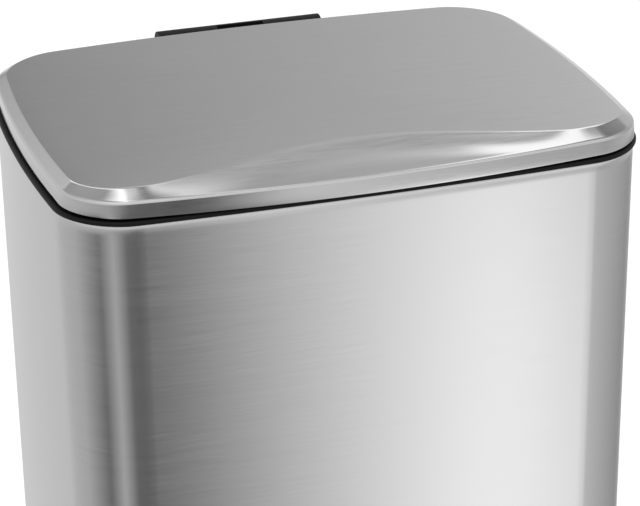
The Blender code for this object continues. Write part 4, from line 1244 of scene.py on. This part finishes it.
def surroundGroup(values):
    board, given, out = newGroup(
        "studioSurround", [("Vector", "Vector", None)], [("Brightness", "Color")]
    )
    split = board.add("ShaderNodeSeparateXYZ", inputs={"Vector": given.outputs["Vector"]})
    turn = board.math("ARCTAN2", split.outputs["X"], board.math("MULTIPLY", split.outputs["Y"], -1.0))
    share = board.math("ADD", board.math("DIVIDE", turn, math.tau), 0.5)
    height = board.math("DEGREES", board.math("ARCSINE", split.outputs["Z"]))
    around = board.math("FLOORED_MODULO", board.math("DEGREES", turn), 360.0)
    beyond = board.math("SUBTRACT", around, values["bandMiddle"])
    offset = board.math("MULTIPLY", beyond, values["bandSlant"])
    place = board.math("ADD", height, offset)
    bandLow, bandTop = values["bandRange"]
    band = board.math("DIVIDE", board.math("ADD", place, float(-bandLow)), float(bandTop - bandLow))

    beside = board.math(
        "MAXIMUM", board.step(around, *values["patchTurn"]), board.step(place, *values["patchHigh"])
    )
    under = board.math("SUBTRACT", 1.0, board.step(place, *values["patchLow"]))
    grey = linearGrey(values["patchGrey"]) / values["steelShare"]
    bands = panelRamp(board, band, values, "highBands", "bandRange")
    upper = board.blend(board.math("MAXIMUM", beside, under), (grey, grey, grey, 1), bands)

    mixed = panelRamp(board, share, values, "floorRing", "ringRange")
    for edge, name in (("skirtEdge", "skirtRing"), ("lowEdge", "lowRing"), ("middleEdge", "middleRing")):
        ring = panelRamp(board, share, values, name, "ringRange")
        mixed = board.blend(board.step(height, *values[edge]), mixed, ring)
    mixed = board.blend(board.step(height, *values["highEdge"]), mixed, upper)
    board.link(mixed, out.inputs["Brightness"])
    return board.tree


def mixShader(board, factor, first, second):
    mix = board.add("ShaderNodeMixShader", inputs={0: factor})
    board.link(first.outputs[0], mix.inputs[1])
    board.link(second.outputs[0], mix.inputs[2])
    return mix


def addSurround(values):
    world = bpy.data.worlds.new("studioWorld")
    bpy.context.scene.world = world
    world.use_nodes = True
    world.node_tree.nodes.clear()
    board = NodeBoard(world.node_tree)
    where = board.add("ShaderNodeTexCoord").outputs["Generated"]
    around = placeGroup(board, surroundGroup(values), where, {})
    seen = board.add("ShaderNodeBackground", inputs={"Color": (1, 1, 1, 1), "Strength": 1.0})
    lit = board.add("ShaderNodeBackground", inputs={"Color": around.outputs["Brightness"], "Strength": 1.0})
    choice = mixShader(board, board.add("ShaderNodeLightPath").outputs["Is Camera Ray"], lit, seen)
    out = board.add("ShaderNodeOutputWorld")
    board.link(choice.outputs[0], out.inputs["Surface"])


def addFloor(values):
    # white paper with a lit shadow for the camera, and a painted shadow under the bin where its glowing lift
    # fades out; mirror rays and a view from below pass through
    bm = bmesh.new()
    bmesh.ops.create_grid(bm, x_segments=1, y_segments=1, size=values["floorSize"])
    floor = newObject("studioFloor", plainMesh(bm, "studioFloor"))
    floor.location = (0, 0, -values["floorDrop"])
    material, board, shader = newMaterial("floorPaper")
    shader.inputs["Base Color"].default_value = values["floorColour"]
    shader.inputs["Roughness"].default_value = values["floorRoughness"]
    shader.inputs["Specular IOR Level"].default_value = 0.0
    spot = board.add("ShaderNodeSeparateXYZ", inputs={0: board.add("ShaderNodeTexCoord").outputs["Object"]})
    across = board.math("DIVIDE", board.math("ABSOLUTE", spot.outputs["X"]), wallHigh.x)
    along = board.math("DIVIDE", board.math("ABSOLUTE", spot.outputs["Y"]), wallHigh.y)
    # painted shadow: the glow fades out under the bin, so the floor there is darker than its lamps alone
    # make it
    outsidePaintedShadow = board.step(board.math("MAXIMUM", across, along), *values["paintedShadowReach"])
    strength = board.math("MULTIPLY", outsidePaintedShadow, values["floorLift"])
    white = board.add("ShaderNodeEmission", inputs={"Color": (1, 1, 1, 1), "Strength": strength})
    lifted = board.add("ShaderNodeAddShader")
    board.link(shader.outputs[0], lifted.inputs[0])
    board.link(white.outputs[0], lifted.inputs[1])
    path = board.add("ShaderNodeLightPath")
    plain = mixShader(board, path.outputs["Is Camera Ray"], shader, lifted)
    fromBelow = board.add("ShaderNodeNewGeometry").outputs["Backfacing"]
    seenThrough = board.math("MAXIMUM", path.outputs["Is Glossy Ray"], fromBelow)
    choice = mixShader(board, seenThrough, plain, board.add("ShaderNodeBsdfTransparent"))
    board.link(choice.outputs[0], board.tree.nodes["Material Output"].inputs["Surface"])
    floor.data.materials.append(material)


def addLamps(values):
    for name, (place, power) in values["lamps"].items():
        data = bpy.data.lights.new(name, "AREA")
        data.energy = power
        data.size = values["lampSize"]
        obj = newObject(name, data)
        obj.location = place
        aim = Vector(values["lampAim"]) - Vector(place)
        obj.rotation_euler = aim.to_track_quat("-Z", "Y").to_euler()
        obj.visible_glossy = False  # steel mirrors the surround alone, without the lamps' squares


addSurround(studio)
addFloor(studio)
addLamps(studio)
bpy.context.scene.view_settings.view_transform = "Standard"
print("studio set")
